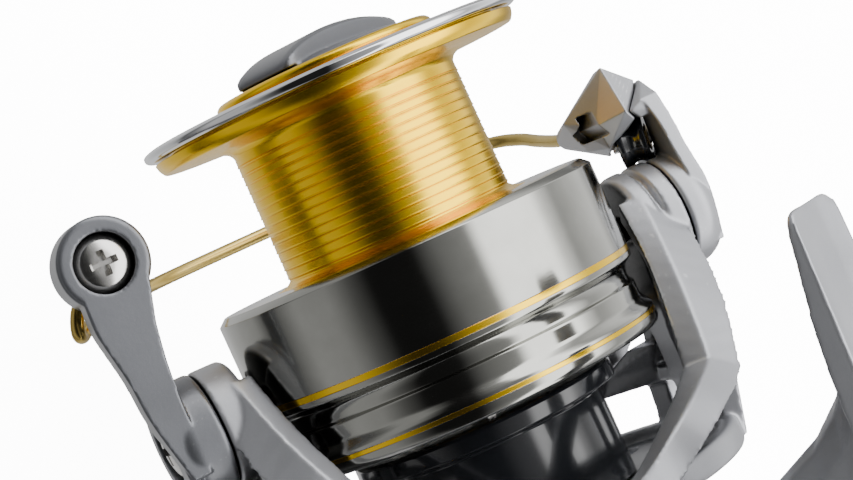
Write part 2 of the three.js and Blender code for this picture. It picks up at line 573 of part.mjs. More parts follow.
const WIRE_PATH = [
  [CONE_TIP[0] + 0.15, CONE_TIP[1] - 0.4, CONE_TIP[2] + 3.4], CONE_TIP, [-24.2, -38.2, -20],
  [-23, -37.8, -26.5], [-21.5, -36.9, -32], [-20.1, -34.2, -38.2], [-19, -27, -46], [-18.3, -14, -51.4],
  [-18.1, 0, -53], [-18.1, 14, -51.4], [-18.2, 27.5, -46], [-18.5, 36.3, -36.5], [-18.8, 41.6, -25.5],
  [-19.1, 45.2, -14], [-20, 49.2, -6.6], [-21, 51.3, -3.6], [-20, 51.9, -1.6], [-17.2, 50.6, -1.8],
  [-13.8, 47.4, -2.2], [-12.45, 46.1, 0.4], [-12.35, 45.96, 3],
];
turning('bail_wire', wire(WIRE_PATH, WIRE_R, 46, 6), BRONZE);

// ---------------------------------------------------------------- housing
const CAVITY = [[DRIVE_H, DRIVE_Z, 18.6], [OSC_H, OSC_Z, 15.5], [102, -1, 9]];
const NECK_R = 15.5; // housing neck radius
const REAR_Z = 2; // rear drag axis above the spool axis
const rear = (outline, segments) => shifted(turned(outline, segments), 0, 0, REAR_Z);
const GUIDE_AT = [-1.5, 10]; // guide rod's y and z
const guide = (h0, h1, r) => rod([-h0, ...GUIDE_AT], [-h1, ...GUIDE_AT], r, 12);
const guideHole = (h0, h1) => guide(h0, h1, 1.5);
function foot() {
  const side = new THREE.Shape();
  side.moveTo(FOOT_HALF, 1);
  side.lineTo(-FOOT_HALF, 1);
  side.lineTo(-FOOT_HALF, -0.6);
  side.lineTo(-20, -3);
  side.lineTo(-8, -3.8);
  side.lineTo(8, -3.8);
  side.lineTo(20, -3);
  side.lineTo(FOOT_HALF, -0.6);
  side.closePath();
  const profile = solid(extrude(side, FOOT_W).rotateX(Math.PI / 2).translate(0, FOOT_W / 2, 0));
  const plan = new THREE.Shape();
  const corner = 3; // radius of the four corners
  const tipHalf = 6.8; // half of the width at the ends
  const quarter = Math.PI / 2;
  plan.moveTo(14, -FOOT_W / 2);
  plan.absarc(FOOT_HALF - corner, corner - tipHalf, corner, -quarter, 0, false);
  plan.absarc(FOOT_HALF - corner, tipHalf - corner, corner, 0, quarter, false);
  plan.lineTo(14, FOOT_W / 2);
  plan.lineTo(-14, FOOT_W / 2);
  plan.absarc(corner - FOOT_HALF, tipHalf - corner, corner, quarter, 2 * quarter, false);
  plan.absarc(corner - FOOT_HALF, corner - tipHalf, corner, 2 * quarter, 3 * quarter, false);
  plan.lineTo(-14, -FOOT_W / 2);
  plan.closePath();
  const outline = solid(extrude(plan, 10, { curveSegments: 6 }).translate(0, 0, -6));
  const strips = 40;
  const flat = CRADLE_R * Math.cos(Math.PI / strips);
  const rodSpace = new THREE.CylinderGeometry(CRADLE_R, CRADLE_R, 100, strips)
    .rotateY(Math.PI / strips).rotateZ(Math.PI / 2).translate(0, 0, flat);
  return shifted(cut(profile.intersect(outline), solid(rodSpace)), -LIP_FORWARD, 0, AXIS_DROP);
}
function stem() {
  const level = (z, h0, h1, half) => {
    const points = [];
    for (let i = 0; i < 10; i += 1) {
      const angle = (i / 10) * 2 * Math.PI;
      const along = (h0 + h1) / 2 + ((h1 - h0) / 2) * Math.cos(angle);
      points.push([-along, half * Math.sin(angle), z]);
    }
    return points;
  };
  return chain([level(10, 92, 128, 12), level(18, 92, 122, 9), level(28, 89, 110, 6.2),
    level(42, 83, 100, 5), level(54, 77, 95, 5), level(60, 72, 94, 5.8), level(64.2, 66, 97, 6.8)]);
}
function housing() {
  const body = slab(CAVITY, WALL, CASE_SPLIT_Y, CASE_LEFT_Y, 5, 1);
  const neck = turned([[0, 80.6], [NECK_R - 0.8, 80.6], [NECK_R, 81.4], [NECK_R + 0.8, 98], [0, 98]], 36);
  const tail = rear([[0, 132], [14.6, 132], [14, 141], [14, REAR_H], [0, REAR_H]], 36);
  const trim = block(-200, 0, -30, CASE_SPLIT_Y, -60, 40);
  const whole = join(body, cut(join(neck, tail), trim), foot(), stem());
  const boss = ringY(10, 7, 9.5, 13, DRIVE_H, DRIVE_Z, 28);
  const bulkhead = block(-112.2, -109.6, -5.2, 6.6, -7, 20);
  const cavity = slab(CAVITY, 0, CASE_SPLIT_Y - 5, CASE_LEFT_Y - WALL);
  const hollow = cut(cavity, bulkhead, boss);
  const shaftHole = plugY(7, 5, 20, DRIVE_H, DRIVE_Z, 28);
  const front = turned([[0, 79], [13.4, 79], [13.4, 83], [12.4, 83], [12.4, 89.4], [9.4, 89.4], [9.4, 94.2],
    [6.2, 94.2], [6.2, 97], [0, 97]], 32);
  const shaftWay = plug(5.2, 130, 160, 20);
  const rearWell = rear([[0, 143], [10.4, 143], [10.4, 160], [0, 160]], 28);
  const bushHole = plug(5.5, 105, 115, 20);
  return cut(whole, hollow, shaftHole, front, shaftWay, rearWell, bushHole, guideHole(90, 113.4));
}
fixed('housing', housing(), SILVER);
const COVER_SCREWS = [[94.6, -13], [128.5, -26.5], [132.5, 15.6]];
function sideCover() {
  const body = slab(CAVITY, WALL, CASE_RIGHT_Y, CASE_SPLIT_Y - GAP, 3, -1);
  const holes = COVER_SCREWS.map(([h, z]) => plugY(1.7, CASE_RIGHT_Y - 1, CASE_SPLIT_Y + 1, h, z, 14));
  const sinks = COVER_SCREWS.map(([h, z]) =>
    plugY(2.9, CASE_RIGHT_Y - 3, CASE_RIGHT_Y + 1.7, h, z, 16));
  return cut(body, holes, sinks, plugY(7, -20, -10, DRIVE_H, DRIVE_Z, 28));
}
fixed('side_cover', sideCover(), SILVER);
COVER_SCREWS.forEach(([h, z], i) => {
  const screw = crossScrew(2.5, 1.2, 1.3, 1.8);
  fixed(`cover_screw_${i + 1}`, placedScrew(screw, [-h, CASE_RIGHT_Y + 0.3, z], [0, -1, 0]), STEEL);
});
fixed('clutch_cover', ring(13.1, 5, 80.9, 82.7, 32), BLACK);
fixed('one_way_clutch', ring(12.1, 4.7, 83.2, 89, 32), STEEL);
fixed('front_bearing', ring(9.1, 4.7, 89.7, 93.9, 28), STEEL);
fixed('rear_pinion_bush', ring(5.15, 4.65, 109.6, 112.2, 24), BRASS);
fixed('drive_bearing_left', ringY(6.7, 4.9, 12.2, 15.8, DRIVE_H, DRIVE_Z, 24), STEEL);
fixed('drive_bearing_right', ringY(6.7, 4.9, -16.2, -13.2, DRIVE_H, DRIVE_Z, 24), STEEL);
fixed('guide_rod', guide(113, 136.2, 1.1), STEEL);
fixed('trip_ramp', hull([[-81.6, 16.6, -3], [-81.6, 16.6, 3], [-81.6, 22, -1], [-81.6, 22, 1],
  [-90, 16.8, -4], [-90, 16.8, 4], [-88, 19.5, -2], [-88, 19.5, 2]]), RUBBER);

// ---------------------------------------------------------------- drive train
function driveGear() {
  const web = turnedY([[2.9, -16], [4.5, -16], [4.5, -9.6], [17.2, -9.6], [17.4, -7.2], [5.5, -7.2],
    [4.5, -6.4], [4.5, 15.8], [2.9, 15.8]], DRIVE_H, DRIVE_Z, 36);
  const crown = solid(extrude(gearShape(DRIVE_TEETH, 13.6, 17.1), 1.8).rotateX(Math.PI / 2)
    .translate(-DRIVE_H, -5.6, DRIVE_Z));
  const teeth = cut(crown, plugY(12.4, -10, 0, DRIVE_H, DRIVE_Z, 28));
  const small = solid(extrude(gearShape(STEP_TEETH, 5.9, 6.8), 2.2).rotateX(Math.PI / 2)
    .translate(-DRIVE_H, 9.4, DRIVE_Z));
  return join(web, cut(small, plugY(4, 5, 12, DRIVE_H, DRIVE_Z)), teeth);
}
fixed('drive_gear', driveGear(), BRASS);
function oscillationGear() {
  const disc = solid(extrude(gearShape(OSC_TEETH, 10.5, 11.4), 2.2).rotateX(Math.PI / 2)
    .translate(-OSC_H, 9.4, OSC_Z));
  const pin = plugY(1.6, 6, 7.4, OSC_H - CRANK_PIN_R, OSC_Z, 14);
  const hubPin = plugY(2.2, 9, 12.4, OSC_H, OSC_Z, 18);
  return join(disc, pin, hubPin);
}
fixed('oscillation_gear', oscillationGear(), BRASS);
function slider() {
  const h = OSC_H - CRANK_PIN_R;
  const carrier = block(-h - 2.2, -h + 1.9, -3.8, 5.4, -5.2, 12.4);
  const side = (x, z0, z1) => [[x, 3, z0], [x, 5.6, z0], [x, 3, z1], [x, 5.6, z1]];
  const plate = hull([...side(-h - 2.2, -5.4, 11.4), ...side(-h - 0.6, -7, 14),
    ...side(-h + 1.9, -7, 14)]);
  const slot = block(-h - 1.5, -h + 1.2, 4.4, 7, -6, 12.9);
  return cut(join(carrier, plate), slot, plug(SHAFT_R + GAP, 100, 130, 20), guideHole(100, 130));
}
fixed('oscillation_slider', slider(), STEEL);

// ---------------------------------------------------------------- handle
const HANDLE_DEG = 205; // arm direction in the x-z plane at rest, measured from +x towards +z
const handleDir = [Math.cos(HANDLE_DEG * DEG), Math.sin(HANDLE_DEG * DEG)];
const alongHandle = (d, y, side = 0) => [-DRIVE_H + d * handleDir[0] - side * handleDir[1], y,
  DRIVE_Z + d * handleDir[1] + side * handleDir[0]];
const hingeHole = (r) => rod(alongHandle(0, HANDLE_Y, -8), alongHandle(0, HANDLE_Y, 8), r, 14);
fixed('handle_shank', cut(join(
  rod(alongHandle(0, -14), alongHandle(0, 17.6), 2.5, 10),
  turnedY([[0, 17.2], [6.6, 17.2], [7.2, 18], [5.6, 20], [4.6, 24], [4.6, 29], [5.2, 31], [0, 31]],
    DRIVE_H, DRIVE_Z, 28),
  chain([[-2, 2].flatMap((d) => [-2, 2].map((s) => alongHandle(d, 30.6, s))),
    [-2.4, 2.4].flatMap((d) => [-2, 2].map((s) => alongHandle(d, HANDLE_Y + 2.6, s)))]),
), hingeHole(1.5)), STEEL);
function handleFork() {
  const plateSection = (d, y0, y1, s0, s1) => [alongHandle(d, y0, s0), alongHandle(d, y1, s0),
    alongHandle(d, y0, s1), alongHandle(d, y1, s1)];
  const cheeks = [-1, 1].map((side) => chain([
    plateSection(-4, HANDLE_Y - 3.4, HANDLE_Y + 3.6, side * 2.4, side * 4.6),
    plateSection(7, HANDLE_Y - 3.4, HANDLE_Y + 3.6, side * 2.4, side * 4.6),
  ]));
  const arm = chain([
    plateSection(4.6, HANDLE_Y - 3.4, HANDLE_Y + 3.6, -4.6, 4.6),
    plateSection(12, HANDLE_Y - 2.6, HANDLE_Y + 3, -4.4, 4.4),
    plateSection(34, HANDLE_Y + 0.4, HANDLE_Y + 4.6, -3.2, 3.2),
    plateSection(HANDLE_LEN - 6, HANDLE_Y + 3.4, HANDLE_Y + 7.4, -3.6, 3.6),
    plateSection(HANDLE_LEN, HANDLE_Y + 3.6, HANDLE_Y + 7.8, -5, 5),
    plateSection(HANDLE_LEN + 5, HANDLE_Y + 4, HANDLE_Y + 7.4, -2.6, 2.6),
  ]);
  const [x, , z] = alongHandle(HANDLE_LEN, 0);
  return cut(join(...cheeks, arm), hingeHole(1.5), plugY(2.1, 30, 60, -x, z, 16));
}
fixed('handle_arm', handleFork(), SILVER);
fixed('hinge_pin', rod(alongHandle(0, HANDLE_Y, -5.4), alongHandle(0, HANDLE_Y, 5.4), 1.2, 14), STEEL);
const gripAt = alongHandle(HANDLE_LEN, 0);
const gripTurn = (outline, segments) => turnedY(outline, -gripAt[0], gripAt[2], segments);
const GRIP_Y = HANDLE_Y + 8.4; // grip's inner end
fixed('grip_post', gripTurn([[0, HANDLE_Y + 1.4], [3.2, HANDLE_Y + 1.4], [3.2, HANDLE_Y + 3.2],
  [1.8, HANDLE_Y + 3.2], [1.8, GRIP_Y + GRIP_LEN - 5], [3, GRIP_Y + GRIP_LEN - 5],
  [3, GRIP_Y + GRIP_LEN - 3.6], [0, GRIP_Y + GRIP_LEN - 3.6]], 18), STEEL);
function grip() {
  const end = GRIP_Y + GRIP_LEN;
  const body = gripTurn([[2.1, GRIP_Y], [5, GRIP_Y], [6, GRIP_Y + 1], [6.6, GRIP_Y + 5],
    [8.6, GRIP_Y + 13], [10.6, GRIP_Y + 22], [10.6, end - 5], [9.4, end - 1.4], [8, end],
    [5.4, end], [5.4, end - 5.4], [2.1, end - 5.4]], 28);
  const flat = (side) => block(gripAt[0] - 30, gripAt[0] + 30, GRIP_Y - 1, end + 1,
    gripAt[2] + Math.min(side * 7.4, side * 20), gripAt[2] + Math.max(side * 7.4, side * 20));
  return cut(body, flat(1), flat(-1));
}
fixed('grip', grip(), RUBBER);
fixed('grip_cap', gripTurn([[0, GRIP_Y + GRIP_LEN - 2.4], [5, GRIP_Y + GRIP_LEN - 2.4],
  [5, GRIP_Y + GRIP_LEN], [3.6, GRIP_Y + GRIP_LEN + 0.7], [0, GRIP_Y + GRIP_LEN + 1]], 24), STEEL);
fixed('dust_cap', turnedY([[0, CASE_RIGHT_Y - 3.4], [5.4, CASE_RIGHT_Y - 3.2], [7.4, CASE_RIGHT_Y - 2],
  [8, CASE_RIGHT_Y - GAP], [0, CASE_RIGHT_Y - GAP]], DRIVE_H, DRIVE_Z, 28), GREY);

// ---------------------------------------------------------------- rear free-spool drag and levers
fixed('rear_cap', rear([[2.9, REAR_H + GAP], [13.6, REAR_H + GAP], [14.4, REAR_H + 1], [14.4, REAR_H + 2.4],
  [2.9, REAR_H + 2.4]], 32), GREY);
function tensionKnob() {
  const body = rear([[0, REAR_H + 2.7], [14.6, REAR_H + 2.7], [15, REAR_H + 3.4], [14.2, REAR_H + 11.6],
    [12.4, REAR_H + 13.4], [0, REAR_H + 14.2]], 40);
  const flutes = [...Array(9).keys()].map((i) => {
    const [, y, z] = polar(16.6, i * 40 + 15, 0);
    return rod([-REAR_H, y, z + REAR_Z], [-REAR_H - 12, y, z + REAR_Z], 3, 12);
  });
  return cut(body, flutes);
}
fixed('tension_knob', join(tensionKnob(), rear([[0, REAR_H - 5], [2.4, REAR_H - 5], [2.4, REAR_H + 4],
  [0, REAR_H + 4]], 16)), GREY);
fixed('tension_spring', coil([-REAR_H + 3.2, 0, REAR_Z], 'x', 6.2, 0.6, 3.6, 3, 10), STEEL);

const BAIT_PIVOT = { h: 136, z: 9 }; // free-spool lever's pivot
function baitLever() {
  const y0 = CASE_LEFT_Y + GAP;
  const disc = turnedY([[0, y0], [5, y0], [5.4, y0 + 0.5], [5.4, y0 + 2.6], [4.8, y0 + 3.2], [0, y0 + 3.2]],
    BAIT_PIVOT.h, BAIT_PIVOT.z, 24);
  const bar = (h, z, half, yA, yB) => [[-h - half, yA, z], [-h + half, yA, z], [-h - half, yB, z],
    [-h + half, yB, z]];
  const arm = chain([bar(136, 8, 4, y0, y0 + 3), bar(139, 19, 3, y0 - 0.2, y0 + 2.8),
    bar(142, 28, 3.4, y0 - 5, y0 - 1.2), bar(143.5, 32.5, 3.8, y0 - 10, y0 - 5)]);
  const paddle = hull([...bar(142.6, 29, 3.8, 3, 13), ...bar(145.6, 33.6, 3, 3, 12)]);
  return join(disc, arm, paddle);
}
fixed('free_spool_lever', baitLever(), GREY);
const STOP_PIVOT = { h: 130.5, z: -14 }; // anti-reverse lever's pivot
function stopLever() {
  const y0 = CASE_LEFT_Y + GAP;
  const disc = turnedY([[0, y0], [4.2, y0], [4.6, y0 + 0.5], [4.4, y0 + 2.6], [0, y0 + 2.8]],
    STOP_PIVOT.h, STOP_PIVOT.z, 22);
  const finger = hull([[-128.5, y0, -16], [-133.5, y0, -14], [-128.5, y0 + 2.4, -16],
    [-133.5, y0 + 2.4, -14], [-136, y0 + 0.6, -26], [-138.4, y0 + 0.6, -24.6], [-136, y0 + 3, -26],
    [-138.4, y0 + 3, -24.6]]);
  return join(disc, finger);
}
fixed('anti_reverse_lever', stopLever(), GREY);

export default root;
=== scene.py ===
import json
import math

import bmesh
import bpy
import numpy as np
from mathutils import Matrix, Vector


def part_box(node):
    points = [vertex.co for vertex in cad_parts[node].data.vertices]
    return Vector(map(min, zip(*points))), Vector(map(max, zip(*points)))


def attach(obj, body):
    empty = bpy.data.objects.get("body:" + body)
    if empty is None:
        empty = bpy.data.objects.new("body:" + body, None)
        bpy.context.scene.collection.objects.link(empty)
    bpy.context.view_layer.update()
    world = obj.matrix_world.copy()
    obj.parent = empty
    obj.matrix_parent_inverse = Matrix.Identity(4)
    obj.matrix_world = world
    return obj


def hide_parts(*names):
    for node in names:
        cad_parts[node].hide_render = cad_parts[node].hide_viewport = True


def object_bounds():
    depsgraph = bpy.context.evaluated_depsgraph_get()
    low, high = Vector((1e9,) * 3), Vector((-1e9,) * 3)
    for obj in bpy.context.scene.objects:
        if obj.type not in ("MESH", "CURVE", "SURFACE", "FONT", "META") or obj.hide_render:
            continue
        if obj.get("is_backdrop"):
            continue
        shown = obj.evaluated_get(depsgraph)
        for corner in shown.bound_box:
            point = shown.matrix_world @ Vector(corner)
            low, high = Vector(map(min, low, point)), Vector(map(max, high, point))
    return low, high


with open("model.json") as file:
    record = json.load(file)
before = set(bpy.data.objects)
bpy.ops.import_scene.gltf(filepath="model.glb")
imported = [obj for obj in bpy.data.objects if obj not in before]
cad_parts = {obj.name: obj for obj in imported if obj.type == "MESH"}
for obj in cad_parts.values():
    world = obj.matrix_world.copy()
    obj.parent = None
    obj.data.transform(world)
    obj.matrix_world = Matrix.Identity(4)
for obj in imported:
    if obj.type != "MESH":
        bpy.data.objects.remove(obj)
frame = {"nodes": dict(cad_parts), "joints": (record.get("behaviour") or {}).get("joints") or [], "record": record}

CAD_BOX = [list(corner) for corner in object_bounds()]

# ---------------------------------------------------------------- frames
# Inside a frame, sizes are in millimetres: h is the distance behind the spool's front lip (x = -h).
MM = 0.001
LIP_PROUD = 0.5 * MM  # how far the lip ring's crest stands ahead of h = 0
lip_low, lip_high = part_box("lip_ring")
AXIS = Vector((lip_high.x - LIP_PROUD, (lip_low.y + lip_high.y) / 2, (lip_low.z + lip_high.z) / 2))
FLIP_AXIS = next(j["axis"] for j in frame["joints"] if j["name"] == "bail_flip")
ROTOR_REST = math.atan2(-FLIP_AXIS[2], -FLIP_AXIS[1])
REEL = Matrix.Translation(AXIS) @ Matrix.Scale(MM, 4)
ROTOR = Matrix.Translation(AXIS) @ Matrix.Rotation(ROTOR_REST, 4, "X") @ Matrix.Scale(MM, 4)
HALF_TURN = Matrix.Rotation(math.pi, 4, "X")

SPOOL_STEPS = 256  # facets round the large turned pieces
TURN_STEPS = 128  # facets round the others


# ---------------------------------------------------------------- materials
def shader(name, **values):
    material = bpy.data.materials.new(name)
    material.use_nodes = True
    tree = material.node_tree
    bsdf = tree.nodes["Principled BSDF"]
    for key, value in values.items():
        bsdf.inputs[key.replace("_", " ")].default_value = value
    return material, tree, bsdf


def node(tree, kind, links=(), **values):
    made = tree.nodes.new(kind)
    for key, value in values.items():
        if key in made.inputs:
            made.inputs[key].default_value = value
        else:
            setattr(made, key, value)
    for socket, source in dict(links).items():
        tree.links.new(source, made.inputs[socket])
    return made


def ramp(tree, source, stops):
    made = tree.nodes.new("ShaderNodeValToRGB")
    tree.links.new(source, made.inputs["Fac"])
    elements = made.color_ramp.elements
    while len(elements) < len(stops):
        elements.new(0.5)
    for element, (position, level) in zip(elements, stops):
        element.position = position
        element.color = (level, level, level, 1) if isinstance(level, float) else (*level, 1)
    return made.outputs["Color"]


def place(tree, scale=1.0, stretch=(1, 1, 1)):
    coords = tree.nodes.new("ShaderNodeTexCoord")
    mapping = node(tree, "ShaderNodeMapping", {"Vector": coords.outputs["Object"]})
    mapping.inputs["Scale"].default_value = tuple(scale * s for s in stretch)
    return mapping.outputs["Vector"]


def bump(tree, bsdf, height, strength, distance):
    made = node(tree, "ShaderNodeBump", {"Height": height}, Strength=strength, Distance=distance)
    tree.links.new(made.outputs["Normal"], bsdf.inputs["Normal"])
    return made


def edge_wear(tree, low=0.6, high=0.78):
    geometry = tree.nodes.new("ShaderNodeNewGeometry")
    return ramp(tree, geometry.outputs["Pointiness"], [(low, 0.0), (high, 1.0)])


def mixed(tree, factor, a, b):
    made = tree.nodes.new("ShaderNodeMix")
    made.data_type = "RGBA"
    tree.links.new(factor, made.inputs["Factor"])
    for socket, value in (("A", a), ("B", b)):
        if isinstance(value, tuple):
            made.inputs[socket].default_value = (*value, 1)
        else:
            tree.links.new(value, made.inputs[socket])
    return made.outputs["Result"]


def level_range(tree, source, low, high):
    made = node(tree, "ShaderNodeMapRange", {"Value": source})
    made.inputs["To Min"].default_value = low
    made.inputs["To Max"].default_value = high
    return made.outputs["Result"]


PAINTED_SHADE_REACH = 7 * MM  # how far away a wall still casts painted shade into the paint in a hollow


def cast_paint(name, colour, bright, roughness=(0.3, 0.42), metallic=0.75, coat=0.25):
    """Metallic paint over a casting: fine flake, soft mottling, thin wear on sharp edges, and painted shade
    darkening its hollows.
    """
    material, tree, bsdf = shader(name, Metallic=metallic, Coat_Weight=coat, Coat_Roughness=0.16)
    mottle = node(tree, "ShaderNodeTexNoise", {"Vector": place(tree, 90)}, Scale=1.0, Detail=4.0)
    flake = node(tree, "ShaderNodeTexVoronoi", {"Vector": place(tree, 5200)}, Scale=1.0)
    base = mixed(tree, ramp(tree, mottle.outputs["Fac"], [(0.35, 0.0), (0.7, 1.0)]), colour,
                 tuple(c * 1.1 for c in colour))
    speckled = mixed(tree, ramp(tree, flake.outputs["Distance"], [(0.0, 0.3), (0.35, 0.0)]), base, bright)
    worn = mixed(tree, edge_wear(tree), speckled, bright)
    # Painted shade: an ambient-occlusion mask darkens the base colour to near-black in hollows, crevices and gaps
    # between parts.
    hollow = node(tree, "ShaderNodeAmbientOcclusion", Distance=PAINTED_SHADE_REACH, samples=8)
    unshaded_share = ramp(tree, hollow.outputs["AO"], [(0.2, 0.0), (0.6, 1.0)])
    tree.links.new(mixed(tree, unshaded_share, (0.012, 0.012, 0.013), worn), bsdf.inputs["Base Color"])
    tree.links.new(level_range(tree, mottle.outputs["Fac"], *roughness), bsdf.inputs["Roughness"])
    peel = node(tree, "ShaderNodeTexNoise", {"Vector": place(tree, 1500)}, Scale=1.0, Detail=3.0)
    bump(tree, bsdf, peel.outputs["Fac"], 0.12, 0.0001)
    return material


def turned_metal(name, colour, tint, roughness=(0.12, 0.24), lines=9000.0, strength=0.1,
                 along=(1, 0.02, 0.02)):
    """Metal finished on a lathe: fine rings round the X axis, and small stains."""
    material, tree, bsdf = shader(name, Metallic=1.0)
    rings = node(tree, "ShaderNodeTexNoise", {"Vector": place(tree, lines, along)}, Scale=1.0, Detail=2.0)
    haze = node(tree, "ShaderNodeTexNoise", {"Vector": place(tree, 160)}, Scale=1.0, Detail=5.0)
    base = mixed(tree, ramp(tree, haze.outputs["Fac"], [(0.4, 0.0), (0.75, 1.0)]), colour, tint)
    tree.links.new(base, bsdf.inputs["Base Color"])
    both = node(tree, "ShaderNodeMath", {0: rings.outputs["Fac"], 1: haze.outputs["Fac"]},
                operation="MULTIPLY")
    tree.links.new(level_range(tree, both.outputs["Value"], *roughness), bsdf.inputs["Roughness"])
    bump(tree, bsdf, rings.outputs["Fac"], strength, 0.00002)
    return material


def plain_surface(name, colour, roughness, grain=900.0, strength=0.2, depth=0.0001, **values):
    material, tree, bsdf = shader(name, **values)
    noise = node(tree, "ShaderNodeTexNoise", {"Vector": place(tree, grain)}, Scale=1.0, Detail=6.0)
    patch = node(tree, "ShaderNodeTexNoise", {"Vector": place(tree, 70)}, Scale=1.0, Detail=3.0)
    base = mixed(tree, patch.outputs["Fac"], colour, tuple(min(1, c * 1.35) for c in colour))
    tree.links.new(base, bsdf.inputs["Base Color"])
    tree.links.new(level_range(tree, patch.outputs["Fac"], *roughness), bsdf.inputs["Roughness"])
    bump(tree, bsdf, noise.outputs["Fac"], strength, depth)
    return material


SILVER = cast_paint("silver_paint", (0.33, 0.335, 0.355), (0.56, 0.56, 0.575), (0.36, 0.46), 0.72)
GREY = cast_paint("grey_paint", (0.13, 0.134, 0.145), (0.24, 0.24, 0.25), (0.32, 0.42), 0.75)
GOLD = turned_metal("gold", (0.93, 0.58, 0.004), (0.96, 0.63, 0.012), (0.22, 0.32))
GOLD_LINE = turned_metal("gold_line", (0.9, 0.56, 0.015), (0.9, 0.6, 0.03), (0.2, 0.3))
GUNMETAL = turned_metal("gunmetal", (0.33, 0.33, 0.305), (0.37, 0.37, 0.345), (0.1, 0.18))
CHROME = turned_metal("chrome", (0.7, 0.71, 0.72), (0.76, 0.76, 0.77), (0.04, 0.12), 9000.0, 0.03)
STEEL = turned_metal("steel", (0.55, 0.54, 0.52), (0.62, 0.61, 0.59), (0.2, 0.34), 5000.0, 0.12)
BRONZE = turned_metal("bronze_wire", (0.5, 0.36, 0.1), (0.58, 0.44, 0.15), (0.22, 0.34), 3000.0, 0.05)
BRASS = turned_metal("brass", (0.72, 0.5, 0.18), (0.62, 0.42, 0.16), (0.2, 0.38), 5000.0, 0.12)
BLACK = plain_surface("black_plastic", (0.008, 0.009, 0.011), (0.12, 0.22), 900.0, 0.03,
                      Coat_Weight=0.5, Coat_Roughness=0.08)
RUBBER = plain_surface("rubber", (0.018, 0.018, 0.019), (0.6, 0.8), 2600.0, 0.5, 0.0002)
FELT = plain_surface("felt", (0.2, 0.16, 0.1), (0.85, 0.98), 4200.0, 0.8, 0.0003)
SLOTS = {"silver_paint": SILVER, "grey_paint": GREY, "gold": GOLD, "chrome": CHROME, "steel": STEEL,
         "bronze_wire": BRONZE, "brass": BRASS, "black_plastic": BLACK, "rubber": RUBBER, "felt": FELT}


# ---------------------------------------------------------------- mesh helpers
def add(mesh, verts, faces, marks=None):
    """Adds one closed shell to a bmesh and returns its faces."""
    made = [mesh.verts.new(v) for v in verts]
    out = []
    for i, ids in enumerate(faces):
        face = mesh.faces.new([made[k] for k in ids])
        face.smooth = True
        if marks is not None:
            face.material_index = marks[i]
        out.append(face)
    return out


def rounded(points, radius, steps=4):
    """Rounds the corners of a closed outline. A third value on a point is its own radius."""
    out = []
    count = len(points)
    for i, point in enumerate(points):
        here = Vector(point[:2])
        before = Vector(points[i - 1][:2]) - here
        after = Vector(points[(i + 1) % count][:2]) - here
        r = point[2] if len(point) > 2 else radius
        reach = min(r, before.length * 0.45, after.length * 0.45)
        if reach < 1e-3 or here.x < 1e-6:
            out.append(tuple(here))
            continue
        a = here + before.normalized() * reach
        b = here + after.normalized() * reach
        for k in range(steps + 1):
            t = k / steps
            out.append(tuple(a * (1 - t) ** 2 + here * 2 * t * (1 - t) + b * t * t))
    return out


def lathe(mesh, outline, matrix=None, steps=TURN_STEPS, axis="X", at=(0, 0, 0), radius=0.25, mark=None):
    """Turns a closed outline of (radius, distance) points. Along X the distance is h, behind the lip."""
    points = rounded(outline, radius)
    verts, faces, marks = [], [], []
    rows = []
    for r, d in points:
        if r < 1e-6:
            rows.append([len(verts)])
            verts.append((0.0, 0.0, d))
            continue
        rows.append(list(range(len(verts), len(verts) + steps)))
        for k in range(steps):
            angle = 2 * math.pi * k / steps
            verts.append((r * math.cos(angle), r * math.sin(angle), d))
    for i, row in enumerate(rows):
        after = rows[(i + 1) % len(rows)]
        if len(row) == 1 and len(after) == 1:
            continue
        middle = [(points[i][k] + points[(i + 1) % len(points)][k]) / 2 for k in (0, 1)]
        number = mark(*middle) if mark else 0
        for k in range(steps):
            n = (k + 1) % steps
            if len(row) == 1:
                ids = [row[0], after[n], after[k]]
            elif len(after) == 1:
                ids = [row[k], row[n], after[0]]
            else:
                ids = [row[k], row[n], after[n], after[k]]
            faces.append(ids)
            marks.append(number)
    turn = {"X": Matrix(((0, 0, -1, 0), (1, 0, 0, 0), (0, -1, 0, 0), (0, 0, 0, 1))),
            "Y": Matrix(((0, 1, 0, 0), (0, 0, 1, 0), (1, 0, 0, 0), (0, 0, 0, 1))),
            "Z": Matrix.Identity(4)}[axis]
    whole = (matrix or Matrix.Identity(4)) @ Matrix.Translation(at) @ turn
    return add(mesh, [whole @ Vector(v) for v in verts], faces, marks)


def hull(mesh, points, matrix=None):
    verts = [mesh.verts.new((matrix @ Vector(p)) if matrix else p) for p in points]
    made = bmesh.ops.convex_hull(mesh, input=verts)
    spare = {v for v in made["geom_interior"] + made["geom_unused"] if isinstance(v, bmesh.types.BMVert)}
    bmesh.ops.delete(mesh, geom=list(spare), context="VERTS")


def chain(mesh, sections, matrix=None):
    for a, b in zip(sections, sections[1:]):
        hull(mesh, [*a, *b], matrix)


def rod(mesh, start, end, r0, r1=None, steps=48, matrix=None):
    a, b = Vector(start), Vector(end)
    r1 = r0 if r1 is None else r1
    turn = Vector((0, 0, 1)).rotation_difference(b - a).to_matrix().to_4x4()
    local = (matrix or Matrix.Identity(4)) @ Matrix.Translation(a) @ turn
    length = (b - a).length
    outline = [(0, 0), (r0, 0), (r1, length), (0, length)]
    lathe(mesh, outline, local, steps, "Z", radius=0.0)


def polar(r, beta, h):
    return (-h, r * math.cos(math.radians(beta)), r * math.sin(math.radians(beta)))


def section(r0, r1, b0, b1, h, rows=5):
    """Points of a wall section between two radii and two angles."""
    spread = [b0 + (b1 - b0) * k / (rows - 1) for k in range(rows)]
    return [polar(r, b, h) for r in (r0, r1) for b in spread]


